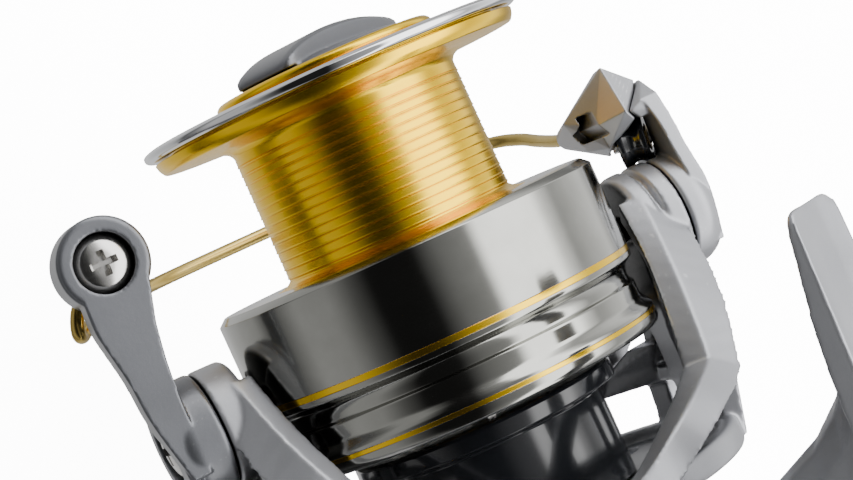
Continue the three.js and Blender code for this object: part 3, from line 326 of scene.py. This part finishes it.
def spline(knots, count):
    """Evenly spread points on a smooth curve through the knots (Catmull-Rom)."""
    knots = [np.array(k, float) for k in knots]
    ends = [2 * knots[0] - knots[1], *knots, 2 * knots[-1] - knots[-2]]
    out = []
    for t in np.linspace(0, len(knots) - 1, count):
        i = min(int(t), len(knots) - 2)
        u = t - i
        p0, p1, p2, p3 = ends[i:i + 4]
        out.append(0.5 * (2 * p1 + (p2 - p0) * u + (2 * p0 - 5 * p1 + 4 * p2 - p3) * u * u
                          + (3 * p1 - p0 - 3 * p2 + p3) * u ** 3))
    return out


def tube(mesh, path, radius, sides=24, matrix=None):
    """A round wire along a path, with its frame carried smoothly from point to point."""
    path = [Vector(p) for p in path]
    side = None
    rows, verts = [], []
    for i, p in enumerate(path):
        way = (path[min(i + 1, len(path) - 1)] - path[max(i - 1, 0)]).normalized()
        if side is None:
            side = way.orthogonal().normalized()
        side = (side - way * side.dot(way)).normalized()
        up = way.cross(side)
        rows.append(range(len(verts), len(verts) + sides))
        for k in range(sides):
            angle = 2 * math.pi * k / sides
            point = p + (side * math.cos(angle) + up * math.sin(angle)) * radius
            verts.append(matrix @ point if matrix else point)
    faces = [[a[k], a[(k + 1) % sides], b[(k + 1) % sides], b[k]]
             for a, b in zip(rows, rows[1:]) for k in range(sides)]
    faces += [list(reversed(rows[0])), list(rows[-1])]
    return add(mesh, verts, faces)


def settle(obj):
    """Applies an object's modifiers to its mesh."""
    bpy.context.view_layer.update()
    final = bpy.data.meshes.new_from_object(obj.evaluated_get(bpy.context.evaluated_depsgraph_get()))
    old = obj.data
    obj.modifiers.clear()
    obj.data = final
    bpy.data.meshes.remove(old)


def make(name, mesh, materials):
    bmesh.ops.recalc_face_normals(mesh, faces=mesh.faces)
    data = bpy.data.meshes.new(name)
    mesh.to_mesh(data)
    mesh.free()
    obj = bpy.data.objects.new(name, data)
    bpy.context.scene.collection.objects.link(obj)
    for material in materials:
        data.materials.append(material)
    return obj


def hand_over(obj, body, nodes):
    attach(obj, body)
    if nodes:
        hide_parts(*nodes)
    return obj


def carve(obj, cutter):
    boolean = obj.modifiers.new("carve", "BOOLEAN")
    boolean.operation = "DIFFERENCE"
    boolean.solver = "EXACT"
    boolean.use_self = True
    boolean.object = cutter
    settle(obj)
    bpy.data.objects.remove(cutter)


def fuse(obj, voxel, smooth, material):
    """Melts overlapping shells into one cast body with softly rounded edges."""
    remesh = obj.modifiers.new("fuse", "REMESH")
    remesh.mode = "VOXEL"
    remesh.voxel_size = voxel * MM
    remesh.use_smooth_shade = True
    soften = obj.modifiers.new("soften", "SMOOTH")
    soften.factor = 0.5
    soften.iterations = smooth
    settle(obj)
    obj.data.materials.clear()
    obj.data.materials.append(material)
    for polygon in obj.data.polygons:
        polygon.use_smooth = True


def cast_piece(name, shells, cutters, body, nodes, slot, voxel=0.32, smooth=5):
    """A cast piece from two functions: one adds its shells to a mesh, the other its cutters."""
    mesh = bmesh.new()
    shells(mesh)
    obj = make(name, mesh, [SLOTS[slot]])
    if cutters:
        holes = bmesh.new()
        cutters(holes)
        carve(obj, make(name + "_cutter", holes, []))
    fuse(obj, voxel, smooth, SLOTS[slot])
    return hand_over(obj, body, nodes)


def turned_piece(name, outline, body, nodes, slot, matrix=REEL, steps=TURN_STEPS, materials=None, **more):
    mesh = bmesh.new()
    lathe(mesh, outline, matrix, steps, **more)
    obj = make(name, mesh, materials or [SLOTS[slot]])
    sharpen(obj)
    return hand_over(obj, body, nodes)


def sharpen(obj, degrees=40):
    """Smooth shading with true corners kept crisp."""
    limit = math.radians(degrees)
    mesh = bmesh.new()
    mesh.from_mesh(obj.data)
    for edge in mesh.edges:
        if edge.is_manifold and edge.calc_face_angle(0) > limit:
            edge.smooth = False
    mesh.to_mesh(obj.data)
    mesh.free()


# ---------------------------------------------------------------- spool and drag
GROOVE_FIRST, GROOVE_LAST, GROOVE_PITCH = 6.2, 26.2, 1.45
ARBOR_R = 18.7


def grooves():
    points = []
    count = int((GROOVE_LAST - GROOVE_FIRST) / GROOVE_PITCH) + 1
    for k in range(count):
        h = GROOVE_FIRST + k * GROOVE_PITCH
        points += [(ARBOR_R, h, 0.04), (ARBOR_R + 0.02, h + 0.9, 0.1), (ARBOR_R + 0.16, h + 1.12, 0.1),
                   (ARBOR_R - 0.1, h + 1.32, 0.08)]
    return points


LINE_1, LINE_2 = (42.4, 43.5), (52.7, 53.5)
SKIRT_R = 31.6


def spool_outline():
    flange = [(15.5, 0.4), (27.2, 0.4, 0.1), (27.2, 1.75, 0.1), (30.3, 1.75, 0.3), (30.0, 2.9, 0.3),
              (29.4, 3.8, 0.3), (20.8, 4.2, 0.8), (19.2, 4.9, 0.8), (ARBOR_R, 5.7, 0.3)]
    foot = [(ARBOR_R, 26.6, 0.4), (19.3, 27.1, 0.6), (20.6, 27.55, 0.5)]
    line_1 = [(SKIRT_R, LINE_1[0], 0.05), (SKIRT_R - 0.14, LINE_1[0] + 0.1, 0.05),
              (SKIRT_R - 0.14, LINE_1[1] - 0.1, 0.05), (SKIRT_R, LINE_1[1], 0.05)]
    waist = [(SKIRT_R, 44.3, 0.3), (30.1, 45.3, 0.5), (29.7, 46.4, 0.4), (29.7, 47.6, 0.3), (30.3, 48.1, 0.3),
             (30.3, 50.6, 0.4), (31.2, 51.7, 0.4), (SKIRT_R, 52.3, 0.2)]
    line_2 = [(SKIRT_R, LINE_2[0], 0.05), (SKIRT_R - 0.14, LINE_2[0] + 0.1, 0.05),
              (SKIRT_R - 0.14, LINE_2[1] - 0.1, 0.05), (SKIRT_R, LINE_2[1], 0.05)]
    rim = [(SKIRT_R, 54.5, 0.3), (31.1, 55.4, 0.4), (29.9, 55.4, 0.2)]
    inside = [(29.8, 52.6), (28.2, 50.8), (28.2, 45), (29.4, 43.4), (29.4, 31), (28, 29.6), (16.9, 29.6),
              (16.9, 19.2), (6.5, 19.2), (6.5, 33), (2.9, 33), (2.9, 16), (15.5, 16)]
    return [*flange, *grooves(), *foot, (30.3, 27.6, 0.15), (SKIRT_R, 28.7, 0.15), *line_1, *waist, *line_2,
            *rim, *inside]


def spool_mark(r, h):
    if r < 15.6 or h < 27.56:
        return 0
    if r > SKIRT_R - 0.2 and any(low + 0.05 < h < high - 0.05 for low, high in (LINE_1, LINE_2)):
        return 2
    return 1


turned_piece("spool_shell", spool_outline(), "spool_body", ["spool"], "gold", steps=SPOOL_STEPS, radius=0.3,
             materials=[GOLD, GUNMETAL, GOLD_LINE], mark=spool_mark)
turned_piece("lip_chrome", [(27.5, -0.2), (28.6, -0.5, 0.8), (30.2, -0.5, 0.9), (31.5, 0.0, 0.9),
                            (31.5, 0.9, 0.7), (30.7, 1.4, 0.5), (27.5, 1.4)],
             "spool_body", ["lip_ring"], "chrome", steps=SPOOL_STEPS)
turned_piece("knob_ring", [(13.7, -1.8), (14.9, -1.9), (15.1, -2.6, 0.3), (17.5, -2.6, 0.5),
                           (18.2, -1.9, 0.4), (18.1, -1.2, 0.2), (17.2, -0.9), (13.7, -0.9)],
             "knob", ["knob_trim_ring"], "gold", steps=SPOOL_STEPS)


# The knob's grip bar: half its length, half its width, its foot, and how high its sides and crown arch.
BAR = {"half": 15.2, "width": 6.2, "foot": 2.9, "side": 3.6, "rise": 4.3, "bevel": 1.2}


ARCH_STEPS = 40


def knob_shells(mesh):
    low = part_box("drag_knob")[0]
    plate = (AXIS.x - low.x) / MM
    lathe(mesh, [(0, -3.8), (11, -3.5, 2), (13.8, -3, 1), (14.4, -2.7, 0.5), (14.4, -2.2), (13.3, -2.1),
                 (13.3, plate), (8.6, plate), (8.6, -1.2), (0, -1.2)], REEL)
    arch = []
    for i in range(ARCH_STEPS + 1):
        angle = math.pi * i / ARCH_STEPS
        y, high = BAR["half"] * math.cos(angle), math.sin(angle)
        half = BAR["width"] * (1 - 0.45 * (1 - high) ** 4)
        for z in (-1, 1):
            arch += [(BAR["foot"], y, z * half), (BAR["foot"] + BAR["side"] * high, y, z * half),
                     (BAR["foot"] + BAR["rise"] * high, y, z * (half - BAR["bevel"]))]
    hull(mesh, arch, REEL)


cast_piece("knob_shell", knob_shells, None, "knob", ["drag_knob"], "grey_paint", 0.25, 4)

# ---------------------------------------------------------------- rotor
RIB_W, RIB_MEAN_R, RIB_ROOT_R = 4.6, 36.0, 33.2
RIM_H, CUP_IN, CUP_OUT, DECK_H = 78.0, 32.8, 36.0, 75.6
PIVOT_H, HEAD_IN, HUB_OUT, BOLT_SEAT = 42.0, 34.3, 47.5, 45.3
PIVOT_BORE_R = 2.7
DECK_HOLES, DECK_HOLE_AT, DECK_HOLE_R = 6, 26.0, 3.4
# One arm: its head's outer face, how far it lies below the other arm, and the window edge of its
# ribs as (beta, h, inner radius, outer radius), straight to the knee and curved after it.
LEFT_ARM = (
    39.8, 2.2,
    [(12, 36.3, 36.6, 39.9), (22, 46, 36.6, 40.9), (33, 55.8, 36.6, 42), (44, 65.2, 36.6, 42.4)],
    [(44, 65.2, 36.6, 42.4), (51, 67.3, 35.8, 41), (60, 69.6, 35.6, 39.6), (75, 72.5, 35.6, 38),
     (90, 74, 35.6, 37)])
RIGHT_ARM = (
    42.0, 0,
    [(12.2, 36.9, 37.2, 42.2), (22, 45.2, 36.8, 42.4), (32, 54.2, 37, 42), (41.4, 62.7, 37.8, 41)],
    [(41.4, 62.7, 37.8, 41), (52, 64.8, 37.8, 40.2), (66, 68.4, 37.4, 39), (79.5, 72.4, 36.6, 38),
     (90, 74, 35.6, 37)])


STRAIGHT_ROWS, CURVED_ROWS = 12, 16


def rib(mesh, side, straight, curved, matrix):
    """One of the two ribs that frame an arm's window, from the head down to the cup's rim."""
    line = [*spline(straight, STRAIGHT_ROWS)[:-1], *spline(curved, CURVED_ROWS)]
    sections = []
    for i, (beta, h, inner, outer) in enumerate(line):
        b0, h0 = line[max(i - 1, 0)][:2]
        b1, h1 = line[min(i + 1, len(line) - 1)][:2]
        along = Vector((math.radians(b1 - b0) * RIB_MEAN_R, h1 - h0)).normalized()
        h2 = min(h + along.x * RIB_W, RIM_H - 0.5)
        beta2 = beta - math.degrees(along.y * RIB_W / RIB_MEAN_R)
        sections.append([polar(RIB_ROOT_R, side * beta, h), polar(inner, side * beta, h),
                         polar(RIB_ROOT_R, side * beta2, h2), polar(outer, side * beta2, h2)])
    chain(mesh, sections, matrix)


def rotor_arm(mesh, matrix, head_out, drop, straight, curved):
    y = HEAD_IN
    groove = [] if drop else [(9.4, y + 3.3), (8.2, y + 3.5), (8.2, y + 4.3), (9.4, y + 4.6)]
    lathe(mesh, [(PIVOT_BORE_R, y), (8.6, y), (9.3, y + 0.8), *groove, (9.4, head_out),
                 (PIVOT_BORE_R, head_out)], matrix, 96, "Y", (-PIVOT_H, 0, 0), 0.3)
    chain(mesh, [section(33.8, 37, -12.5, 12.5, 43), section(33.6, 37, -9.5, 9.5, 51),
                 section(33.2, 36.4, -6, 6, 60), section(33.2, 36.4, -6, 6, 76)], matrix)
    for side in (-1, 1):
        rib(mesh, side, straight, curved, matrix)
        chain(mesh, [section(37 - drop / 2, 41.4 - drop, side * 8.5, side * 12.3, 43),
                     section(36 - drop / 2, 40.2 - drop, side * 9.5, side * 13.5, 52),
                     section(35.5, 39.6 - drop, side * 13, side * 18, 62),
                     section(35, 39.2 - drop / 2, side * 14, side * 22, 66.5),
                     section(33.5, 36.6, side * 14, side * 22, 77.4)], matrix)
        chain(mesh, [section(34, 39.6 - drop, side * 9, side * 22, 60.5),
                     section(34, 39.6 - drop, side * 14, side * 36, 64.3),
                     section(34, 40, side * 14, side * 40, 67)], matrix)
    hull(mesh, [*section(35, 39.4 - drop, -18, 18, 64.6), *section(35, 39 - drop / 2, -20, 20, 67)], matrix)


def rotor_shells(mesh):
    lathe(mesh, [(CUP_IN, 73.6), (CUP_OUT - 0.6, 73.6), (CUP_OUT, 74.4), (CUP_OUT, RIM_H - 0.5),
                 (CUP_OUT - 0.6, RIM_H), (9, RIM_H), (9, 79.4), (4.6, 79.4), (4.6, 62.4), (9, 62.4),
                 (9, DECK_H), (CUP_IN, DECK_H)], ROTOR, 160)
    rotor_arm(mesh, ROTOR, *LEFT_ARM)
    rotor_arm(mesh, ROTOR @ HALF_TURN, *RIGHT_ARM)


def rotor_cutters(mesh):
    for turn in (ROTOR, ROTOR @ HALF_TURN):
        bore = [(0, HEAD_IN - 1), (PIVOT_BORE_R, HEAD_IN - 1), (PIVOT_BORE_R, HUB_OUT), (0, HUB_OUT)]
        lathe(mesh, bore, turn, 48, "Y", (-PIVOT_H, 0, 0), 0.0)
    for k in range(DECK_HOLES):
        x, y, z = polar(DECK_HOLE_AT, (k + 0.5) * 360 / DECK_HOLES, DECK_H)
        rod(mesh, (x + 2, y, z), (x - 4, y, z), DECK_HOLE_R, matrix=ROTOR)


cast_piece("rotor_casting", rotor_shells, rotor_cutters, "rotor_body", ["rotor"], "silver_paint", 0.36, 4)
# An arm's cover plate, in rows of (inner radius, outer radius, half angle, h).
COVER_ROWS = ((40.7, 41.3, 8, 52.4), (40.7, 41.9, 11.5, 54), (40.3, 41.5, 13.5, 61), (40.1, 40.7, 12.5, 63.3))
for cover, turn, low in (("arm_cover_left", ROTOR, LEFT_ARM[1]),
                         ("arm_cover_right", ROTOR @ HALF_TURN, RIGHT_ARM[1])):
    def cover_shells(mesh, matrix=turn, drop=low):
        chain(mesh, [section(r0 - drop, r1 - drop, -b, b, h, 9) for r0, r1, b, h in COVER_ROWS], matrix)

    cast_piece(cover + "_plate", cover_shells, None, "rotor_body", [cover], "silver_paint", 0.22, 3)
turned_piece("collar_shell", [(10.4, 57.2), (21.2, 57.2, 0.3), (21.7, 57.7, 0.3), (21.7, 60.2, 0.3),
                              (18.6, 60.8, 0.5), (18.6, DECK_H - 0.3), (17.2, DECK_H - 0.3), (17.2, 59.4),
                              (10.4, 59.4)], "rotor_body", ["rotor_collar"], "black_plastic", ROTOR)

# ---------------------------------------------------------------- bail
HOLDER_Z = 9.2
HEAD = {"h": 12.35, "y": 45.96, "r": 7.1, "thick": 8.0}
HUB_R = 9.5
BOLT_SINK_R, BOLT_BORE_R = 5.6, 2.9


def hub(mesh, side, inner, matrix=ROTOR):
    outline = [(0, inner), (HUB_R - 0.2, inner, 0.2), (HUB_R, inner + 0.5, 0.2), (HUB_R, HUB_OUT - 2, 1.0),
               (8.4, HUB_OUT, 0.6), (0, HUB_OUT)]
    lathe(mesh, [(r, d * side, *more) for r, d, *more in outline], matrix, 128, "Y", (-PIVOT_H, 0, 0), 0.1)


def bar(h, y0, y1, z0, z1):
    return [(-h, y0, z0), (-h, y1, z0), (-h, y0, z1), (-h, y1, z1)]


STRAP = [(47, 44.2, 47.2, 4.6, 8.6), (40, 44.2, 48.9, 4.6, 9.2), (35.3, 44, 49.7, 4.8, 9.2),
         (29.9, 43.6, 50.1, 4.8, 9.2), (24, 42.7, 51.1, 4.8, 9.2), (21, 41.9, 51.5, 4.6, 9.2),
         (16.5, 40.6, 51.3, 4.6, 9.2)]


def holder_shells(mesh):
    hub(mesh, 1, LEFT_ARM[0] + 0.3)
    chain(mesh, [bar(*row) for row in spline(STRAP, 26)], ROTOR)
    z0, r = HOLDER_Z - HEAD["thick"], HEAD["r"]
    lathe(mesh, [(0, z0), (r - 0.5, z0), (r, z0 + 0.5), (r, HOLDER_Z - 0.5), (r - 0.5, HOLDER_Z),
                 (0, HOLDER_Z)], ROTOR, 96, "Z", (-HEAD["h"], HEAD["y"], 0), 0.3)
    hull(mesh, [(-48, 45.9, 1), (-48, HUB_OUT, 1), (-31, 47.2, 5), (-31, 49, 5), (-31, 47.2, 8), (-31, 49, 8),
                (-48, 45.9, 8), (-48, HUB_OUT, 8), (-42, 45.9, -6), (-42, HUB_OUT, -6)], ROTOR)


def holder_cutters(mesh):
    at = (-HEAD["h"], HEAD["y"], 0)
    z0 = HOLDER_Z - HEAD["thick"]
    for r, low, high in ((4.65, 6.4, HOLDER_Z + 1), (1.9, 4, 7), (1.6, z0 - 1, 4.2)):
        lathe(mesh, [(0, low), (r, low), (r, high), (0, high)], ROTOR, 64, "Z", at, 0.0)
    for r, low, high in ((BOLT_SINK_R, BOLT_SEAT, 53), (BOLT_BORE_R, 38, 52)):
        lathe(mesh, [(0, low), (r, low), (r, high), (0, high)], ROTOR, 64, "Y", (-PIVOT_H, 0, 0), 0.0)


cast_piece("holder_casting", holder_shells, holder_cutters, "bail", ["bail_holder"], "grey_paint", 0.24, 4)


def cross_screw(name, node_name, at, facing, radius, height, shank_r, shank, body, frame_matrix=ROTOR):
    """A domed screw with a cross recess, its crown at a point and its head facing a direction."""
    mesh = bmesh.new()
    turn = Vector((0, 0, 1)).rotation_difference(Vector(facing)).to_matrix().to_4x4()
    local = frame_matrix @ Matrix.Translation(at) @ turn
    lathe(mesh, [(0, 0), (radius * 0.45, -height * 0.06, 0.6), (radius * 0.8, -height * 0.3, 0.6),
                 (radius, -height * 0.8, 0.4), (radius * 0.96, -height, 0.1), (shank_r, -height),
                 (shank_r, -height - shank), (0, -height - shank)], local, 96, "Z", radius=0.1)
    obj = make(name, mesh, [STEEL])
    holes = bmesh.new()
    arm, slot, depth = radius * 0.56, radius * 0.15, height * 0.9
    for a, b in ((arm, slot), (slot, arm)):
        hull(holes, [(x * a, y * b, 1.0) for x in (-1, 1) for y in (-1, 1)]
             + [(x * a * 0.45, y * b * 0.6, -depth) for x in (-1, 1) for y in (-1, 1)], local)
    carve(obj, make(name + "_cutter", holes, []))
    obj.data.materials.clear()
    obj.data.materials.append(STEEL)
    for polygon in obj.data.polygons:
        polygon.use_smooth = True
    sharpen(obj, 32)
    return hand_over(obj, body, [node_name])


cross_screw("wire_screw_head", "wire_screw", (-HEAD["h"], HEAD["y"], HOLDER_Z - 0.2), (0, 0, 1), 4.55, 2.2,
            1.6, 1.8, "bail")
for bolt, way in (("hub_bolt_left", 1), ("hub_bolt_right", -1)):
    cross_screw(bolt + "_head", bolt, (-PIVOT_H, way * (BOLT_SEAT + 2.4), 0), (0, way, 0), 5.2, 2, 2.4, 9,
                "rotor_body")

ROLLER_AT = Vector((-29.2, -43.2, -1.6))
ROLLER_AXIS = Vector((0.1, 0.86, -0.5)).normalized()
CONE_TIP = (-24.5, -38.6, -15.5)
CONE_TIP_R, CONE_TIP_STEPS = 2.0, 24
ROLLER_ROOM_R = 4.7  # the hollow that the line roller turns in


def on_roller(distance):
    return ROLLER_AT + ROLLER_AXIS * distance


def roller_shape():
    mesh = bmesh.new()
    turn = Vector((0, 0, 1)).rotation_difference(ROLLER_AXIS).to_matrix().to_4x4()
    local = ROTOR @ Matrix.Translation(ROLLER_AT) @ turn
    lathe(mesh, [(2.3, -2.4), (3.9, -2.4, 0.2), (4, -1.6, 0.4), (3.1, 0, 1.2), (4, 1.6, 0.4), (3.9, 2.4, 0.2),
                 (2.3, 2.4)], local, 96, "Z", radius=0.1)
    # The roller takes the black finish: a dark roller, darkened further as painted shade for the shaded hollow
    # under the cone that it turns in.
    obj = make("roller_shell", mesh, [BLACK])
    sharpen(obj)
    return hand_over(obj, "roller", ["line_roller"])


roller_shape()


def cone_hull(mesh, step=(0, 0, 0)):
    points = []
    for k in range(CONE_TIP_STEPS):
        angle = 2 * math.pi * k / CONE_TIP_STEPS
        points.append((CONE_TIP[0] + CONE_TIP_R * math.cos(angle), CONE_TIP[1] + CONE_TIP_R * math.sin(angle),
                       CONE_TIP[2] - 0.2))
    points += [(-16, -42.2, 0.4), (-16.4, -42.5, -3.6), (-20.1, -46.2, 1.6), (-20.4, -46.6, -4),
               (-24, -41, 5.6), (-25.8, -42.3, 4.6), (-24.3, -37, 1.5), (-30, -39.7, -4.6),
               (-28.6, -37.9, 0.6), (-27.8, -37, -6), (-22, -34.9, -6), (-19.8, -39.8, -8), (-21, -44.6, -9),
               (-27, -41.8, -8.4)]
    hull(mesh, [Vector(p) + Vector(step) for p in points], ROTOR)


def cone_cutters(mesh):
    rod(mesh, (CONE_TIP[0], CONE_TIP[1] + 0.1, CONE_TIP[2] - 3),
        (CONE_TIP[0] + 0.2, CONE_TIP[1] - 0.6, CONE_TIP[2] + 5), 1.55, matrix=ROTOR)
    slot = ((-21.9, -36.3, -37.9), (-24.3, -35.8, -37.3), (-26.4, -36.6, -38.4))
    chain(mesh, [[(x, y, z) for y in (near, far) for z in (-6.5, 4)] for x, near, far in slot], ROTOR)
    rod(mesh, on_roller(-4), on_roller(2.8), ROLLER_ROOM_R, matrix=ROTOR)
    rod(mesh, on_roller(2), on_roller(4.2), 1.5, matrix=ROTOR)


cast_piece("cone_casting", cone_hull, cone_cutters, "bail", ["wire_cone"], "silver_paint", 0.14, 3)


def arm_shells(mesh):
    hub(mesh, -1, RIGHT_ARM[0] + 0.3)
    rows = [(49, -45.3, -HUB_OUT, -6, 6), (40, -45.3, -47.8, -8.5, 8.5), (33, -45, -47.4, -8, 7.6),
            (28, -44.8, -47.3, -7.6, 7), (23.6, -44.2, -47.1, -7, 6)]
    chain(mesh, [bar(*row) for row in spline(rows, 18)], ROTOR)
    hull(mesh, [*bar(23.4, -43.8, -47.1, -7, 6), (-20.3, -46.9, 2), (-20.7, -47.1, -4), (-24.4, -41.6, 5.8),
                (-26, -43, 5.2), (-26, -47.1, 6.2), (-21.4, -45.4, -8.6), (-24, -44, -8.4), (-26, -47.1, -7)],
         ROTOR)


def arm_cutters(mesh):
    rod(mesh, on_roller(-2.9), on_roller(6), ROLLER_ROOM_R, matrix=ROTOR)
    rod(mesh, on_roller(-9), on_roller(0), 1.4, matrix=ROTOR)
    rod(mesh, on_roller(-9), on_roller(-3.6), 2.4, matrix=ROTOR)
    for r, low, high in ((BOLT_SINK_R, -53, -BOLT_SEAT), (BOLT_BORE_R, -52, -38)):
        lathe(mesh, [(0, low), (r, low), (r, high), (0, high)], ROTOR, 64, "Y", (-PIVOT_H, 0, 0), 0.0)
    cone_hull(mesh, (-0.06, -0.1, 0.05))


cast_piece("bail_arm_casting", arm_shells, arm_cutters, "bail", ["bail_arm"], "silver_paint", 0.2, 4)

WIRE_R = 1.1
WIRE_PATH = [
    (CONE_TIP[0] + 0.15, CONE_TIP[1] - 0.4, CONE_TIP[2] + 3.4), CONE_TIP, (-24.2, -38.2, -20),
    (-23, -37.8, -26.5), (-21.5, -36.9, -32), (-20.1, -34.2, -38.2), (-19, -27, -46), (-18.3, -14, -51.4),
    (-18.1, 0, -53), (-18.1, 14, -51.4), (-18.2, 27.5, -46), (-18.5, 36.3, -36.5), (-18.8, 41.6, -25.5),
    (-19.1, 45.2, -14), (-20, 49.2, -6.6), (-21, 51.3, -3.6), (-20, 51.9, -1.6), (-17.2, 50.6, -1.8),
    (-13.8, 47.4, -2.2), (-12.45, 46.1, 0.4), (-12.35, 45.96, 3)]


def wire_shape():
    mesh = bmesh.new()
    tube(mesh, spline(WIRE_PATH, 260), WIRE_R, 28, ROTOR)
    return hand_over(make("wire_shell", mesh, [BRONZE]), "bail", ["bail_wire"])


wire_shape()


# ---------------------------------------------------------------- pieces cast from their CAD shape
def recast(node_name, body, slot, voxel, smooth):
    """A softly rounded casting with the CAD node's own shape."""
    source = frame["nodes"][node_name]
    obj = bpy.data.objects.new(node_name + "_casting", source.data.copy())
    bpy.context.scene.collection.objects.link(obj)
    fuse(obj, voxel, smooth, SLOTS[slot])
    return hand_over(obj, body, [node_name])


BODY_OF = {name: body for body, names in frame["record"]["behaviour"]["bodies"].items() for name in names}
SLOT_OF = {row["node"]: row["material_slot"] for row in frame["record"]["subparts"]}
# Each CAD node that is recast, with its voxel size and its smoothing passes.
RECAST = {"housing": (0.34, 14), "side_cover": (0.4, 8), "handle_arm": (0.35, 6), "handle_shank": (0.3, 5),
          "grip": (0.4, 8), "grip_cap": (0.25, 5), "dust_cap": (0.3, 5), "rear_cap": (0.3, 4),
          "tension_knob": (0.3, 5), "free_spool_lever": (0.3, 5), "anti_reverse_lever": (0.25, 4),
          "trip_ramp": (0.25, 4)}
for node_name, (voxel, smooth) in RECAST.items():
    recast(node_name, BODY_OF[node_name], SLOT_OF[node_name], voxel, smooth)

EDGE_ROUND, EDGE_ANGLE = 0.12 * MM, math.radians(35)
SPRINGS = ("bail_spring", "knob_spring", "tension_spring")
for node_name, obj in frame["nodes"].items():
    if obj.hide_render:
        continue
    obj.data.materials.clear()
    obj.data.materials.append(SLOTS[SLOT_OF[node_name]])
    for polygon in obj.data.polygons:
        polygon.use_smooth = False
    if node_name not in SPRINGS:
        edge = obj.modifiers.new("edges", "BEVEL")
        edge.width = EDGE_ROUND
        edge.segments = 2
        edge.limit_method = "ANGLE"
        edge.angle_limit = EDGE_ANGLE


# ---------------------------------------------------------------- camera, light and floor
# The camera stands ahead of the reel and above it, close to the lip's side, and rolled over.
CAMERA_AT = (0.06257, 0.29463, 0.16648)
CAMERA_RIGHT = Vector((-0.41261, -0.55123, 0.72519))
CAMERA_UP = Vector((0.91044, -0.27518, 0.30884))
SENSOR_MM, LENS_MM = 36, 101.9


def camera():
    data = bpy.data.cameras.new("camera")
    data.sensor_width = SENSOR_MM
    data.lens = LENS_MM
    obj = bpy.data.objects.new("camera", data)
    turn = Matrix((CAMERA_RIGHT, CAMERA_UP, CAMERA_RIGHT.cross(CAMERA_UP))).transposed().to_4x4()
    obj.matrix_world = Matrix.Translation(CAMERA_AT) @ turn
    data.clip_start = 0.005
    bpy.context.scene.collection.objects.link(obj)
    bpy.context.scene.camera = obj


# Brightness of the studio by its direction round the spool axis, in degrees from +Y towards +Z.
STUDIO = [(-180, 0.4), (-170, 0.3), (-150, 0.6), (-114, 0.75), (-92, 0.6), (-72, 0.5), (-60, 0.12),
          (-50, 0.22), (-36, 0.5), (-15, 0.45), (0, 0.16), (12, 0.015), (40, 0.015), (54, 0.3), (72, 0.5),
          (79, 4.0), (116, 4.2), (123, 2.0), (134, 0.7), (148, 1.1), (166, 1.5), (180, 0.4)]
STUDIO_LEVEL = 1.15


def studio():
    world = bpy.data.worlds.new("studio")
    world.use_nodes = True
    tree = world.node_tree
    tree.nodes.clear()
    coords = tree.nodes.new("ShaderNodeTexCoord")
    split = node(tree, "ShaderNodeSeparateXYZ", {"Vector": coords.outputs["Generated"]})
    angle = node(tree, "ShaderNodeMath", {0: split.outputs["Z"], 1: split.outputs["Y"]},
                 operation="ARCTAN2")
    share = node(tree, "ShaderNodeMapRange", {"Value": angle.outputs["Value"]})
    share.inputs["From Min"].default_value = -math.pi
    share.inputs["From Max"].default_value = math.pi
    around = ramp(tree, share.outputs["Result"], [((a + 180) / 360, float(v)) for a, v in STUDIO])
    background = node(tree, "ShaderNodeBackground", {"Color": around}, Strength=STUDIO_LEVEL)
    output = node(tree, "ShaderNodeOutputWorld", {"Surface": background.outputs["Background"]})
    bpy.context.scene.world = world
    return output


LIGHT_SHARE = 0.6  # how far along the reel the lights aim, from its rear to its front


def softbox(name, at, target, size, power):
    data = bpy.data.lights.new(name, "AREA")
    data.shape = "RECTANGLE"
    data.size, data.size_y = size
    data.energy = power
    obj = bpy.data.objects.new(name, data)
    obj.location = at
    obj.rotation_euler = (Vector(target) - Vector(at)).to_track_quat("-Z", "Y").to_euler()
    bpy.context.scene.collection.objects.link(obj)
    obj.visible_glossy = False
    return obj


FLOOR_REACH, FLOOR_GAP, FLOOR_GLOW = 6.0, 0.012, 12.0


def floor():
    """A pale floor under the reel that glows softly, and lights nothing."""
    mesh = bmesh.new()
    reach, level = FLOOR_REACH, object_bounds()[0][2] - FLOOR_GAP
    corners = ((-1, -1), (1, -1), (1, 1), (-1, 1))
    add(mesh, [(x * reach, y * reach, level) for x, y in corners], [[0, 1, 2, 3]])
    material = plain_surface("floor", (0.86, 0.86, 0.86), (0.8, 0.9), 60.0, 0.02)
    shade = material.node_tree.nodes["Principled BSDF"]
    shade.inputs["Emission Color"].default_value = (1, 1, 1, 1)
    shade.inputs["Emission Strength"].default_value = FLOOR_GLOW
    obj = make("floor", mesh, [material])
    obj.visible_glossy = False
    obj.visible_diffuse = False
    obj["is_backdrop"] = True


camera()
studio()
floor()
centre = (CAD_BOX[0][0] * (1 - LIGHT_SHARE) + CAD_BOX[1][0] * LIGHT_SHARE, 0,
          (CAD_BOX[0][2] + CAD_BOX[1][2]) / 2)
softbox("overhead", (0.15, -0.1, 0.75), centre, (0.5, 0.35), 5)
softbox("front_fill", (0.7, 0.45, 0.25), centre, (0.5, 0.5), 2)
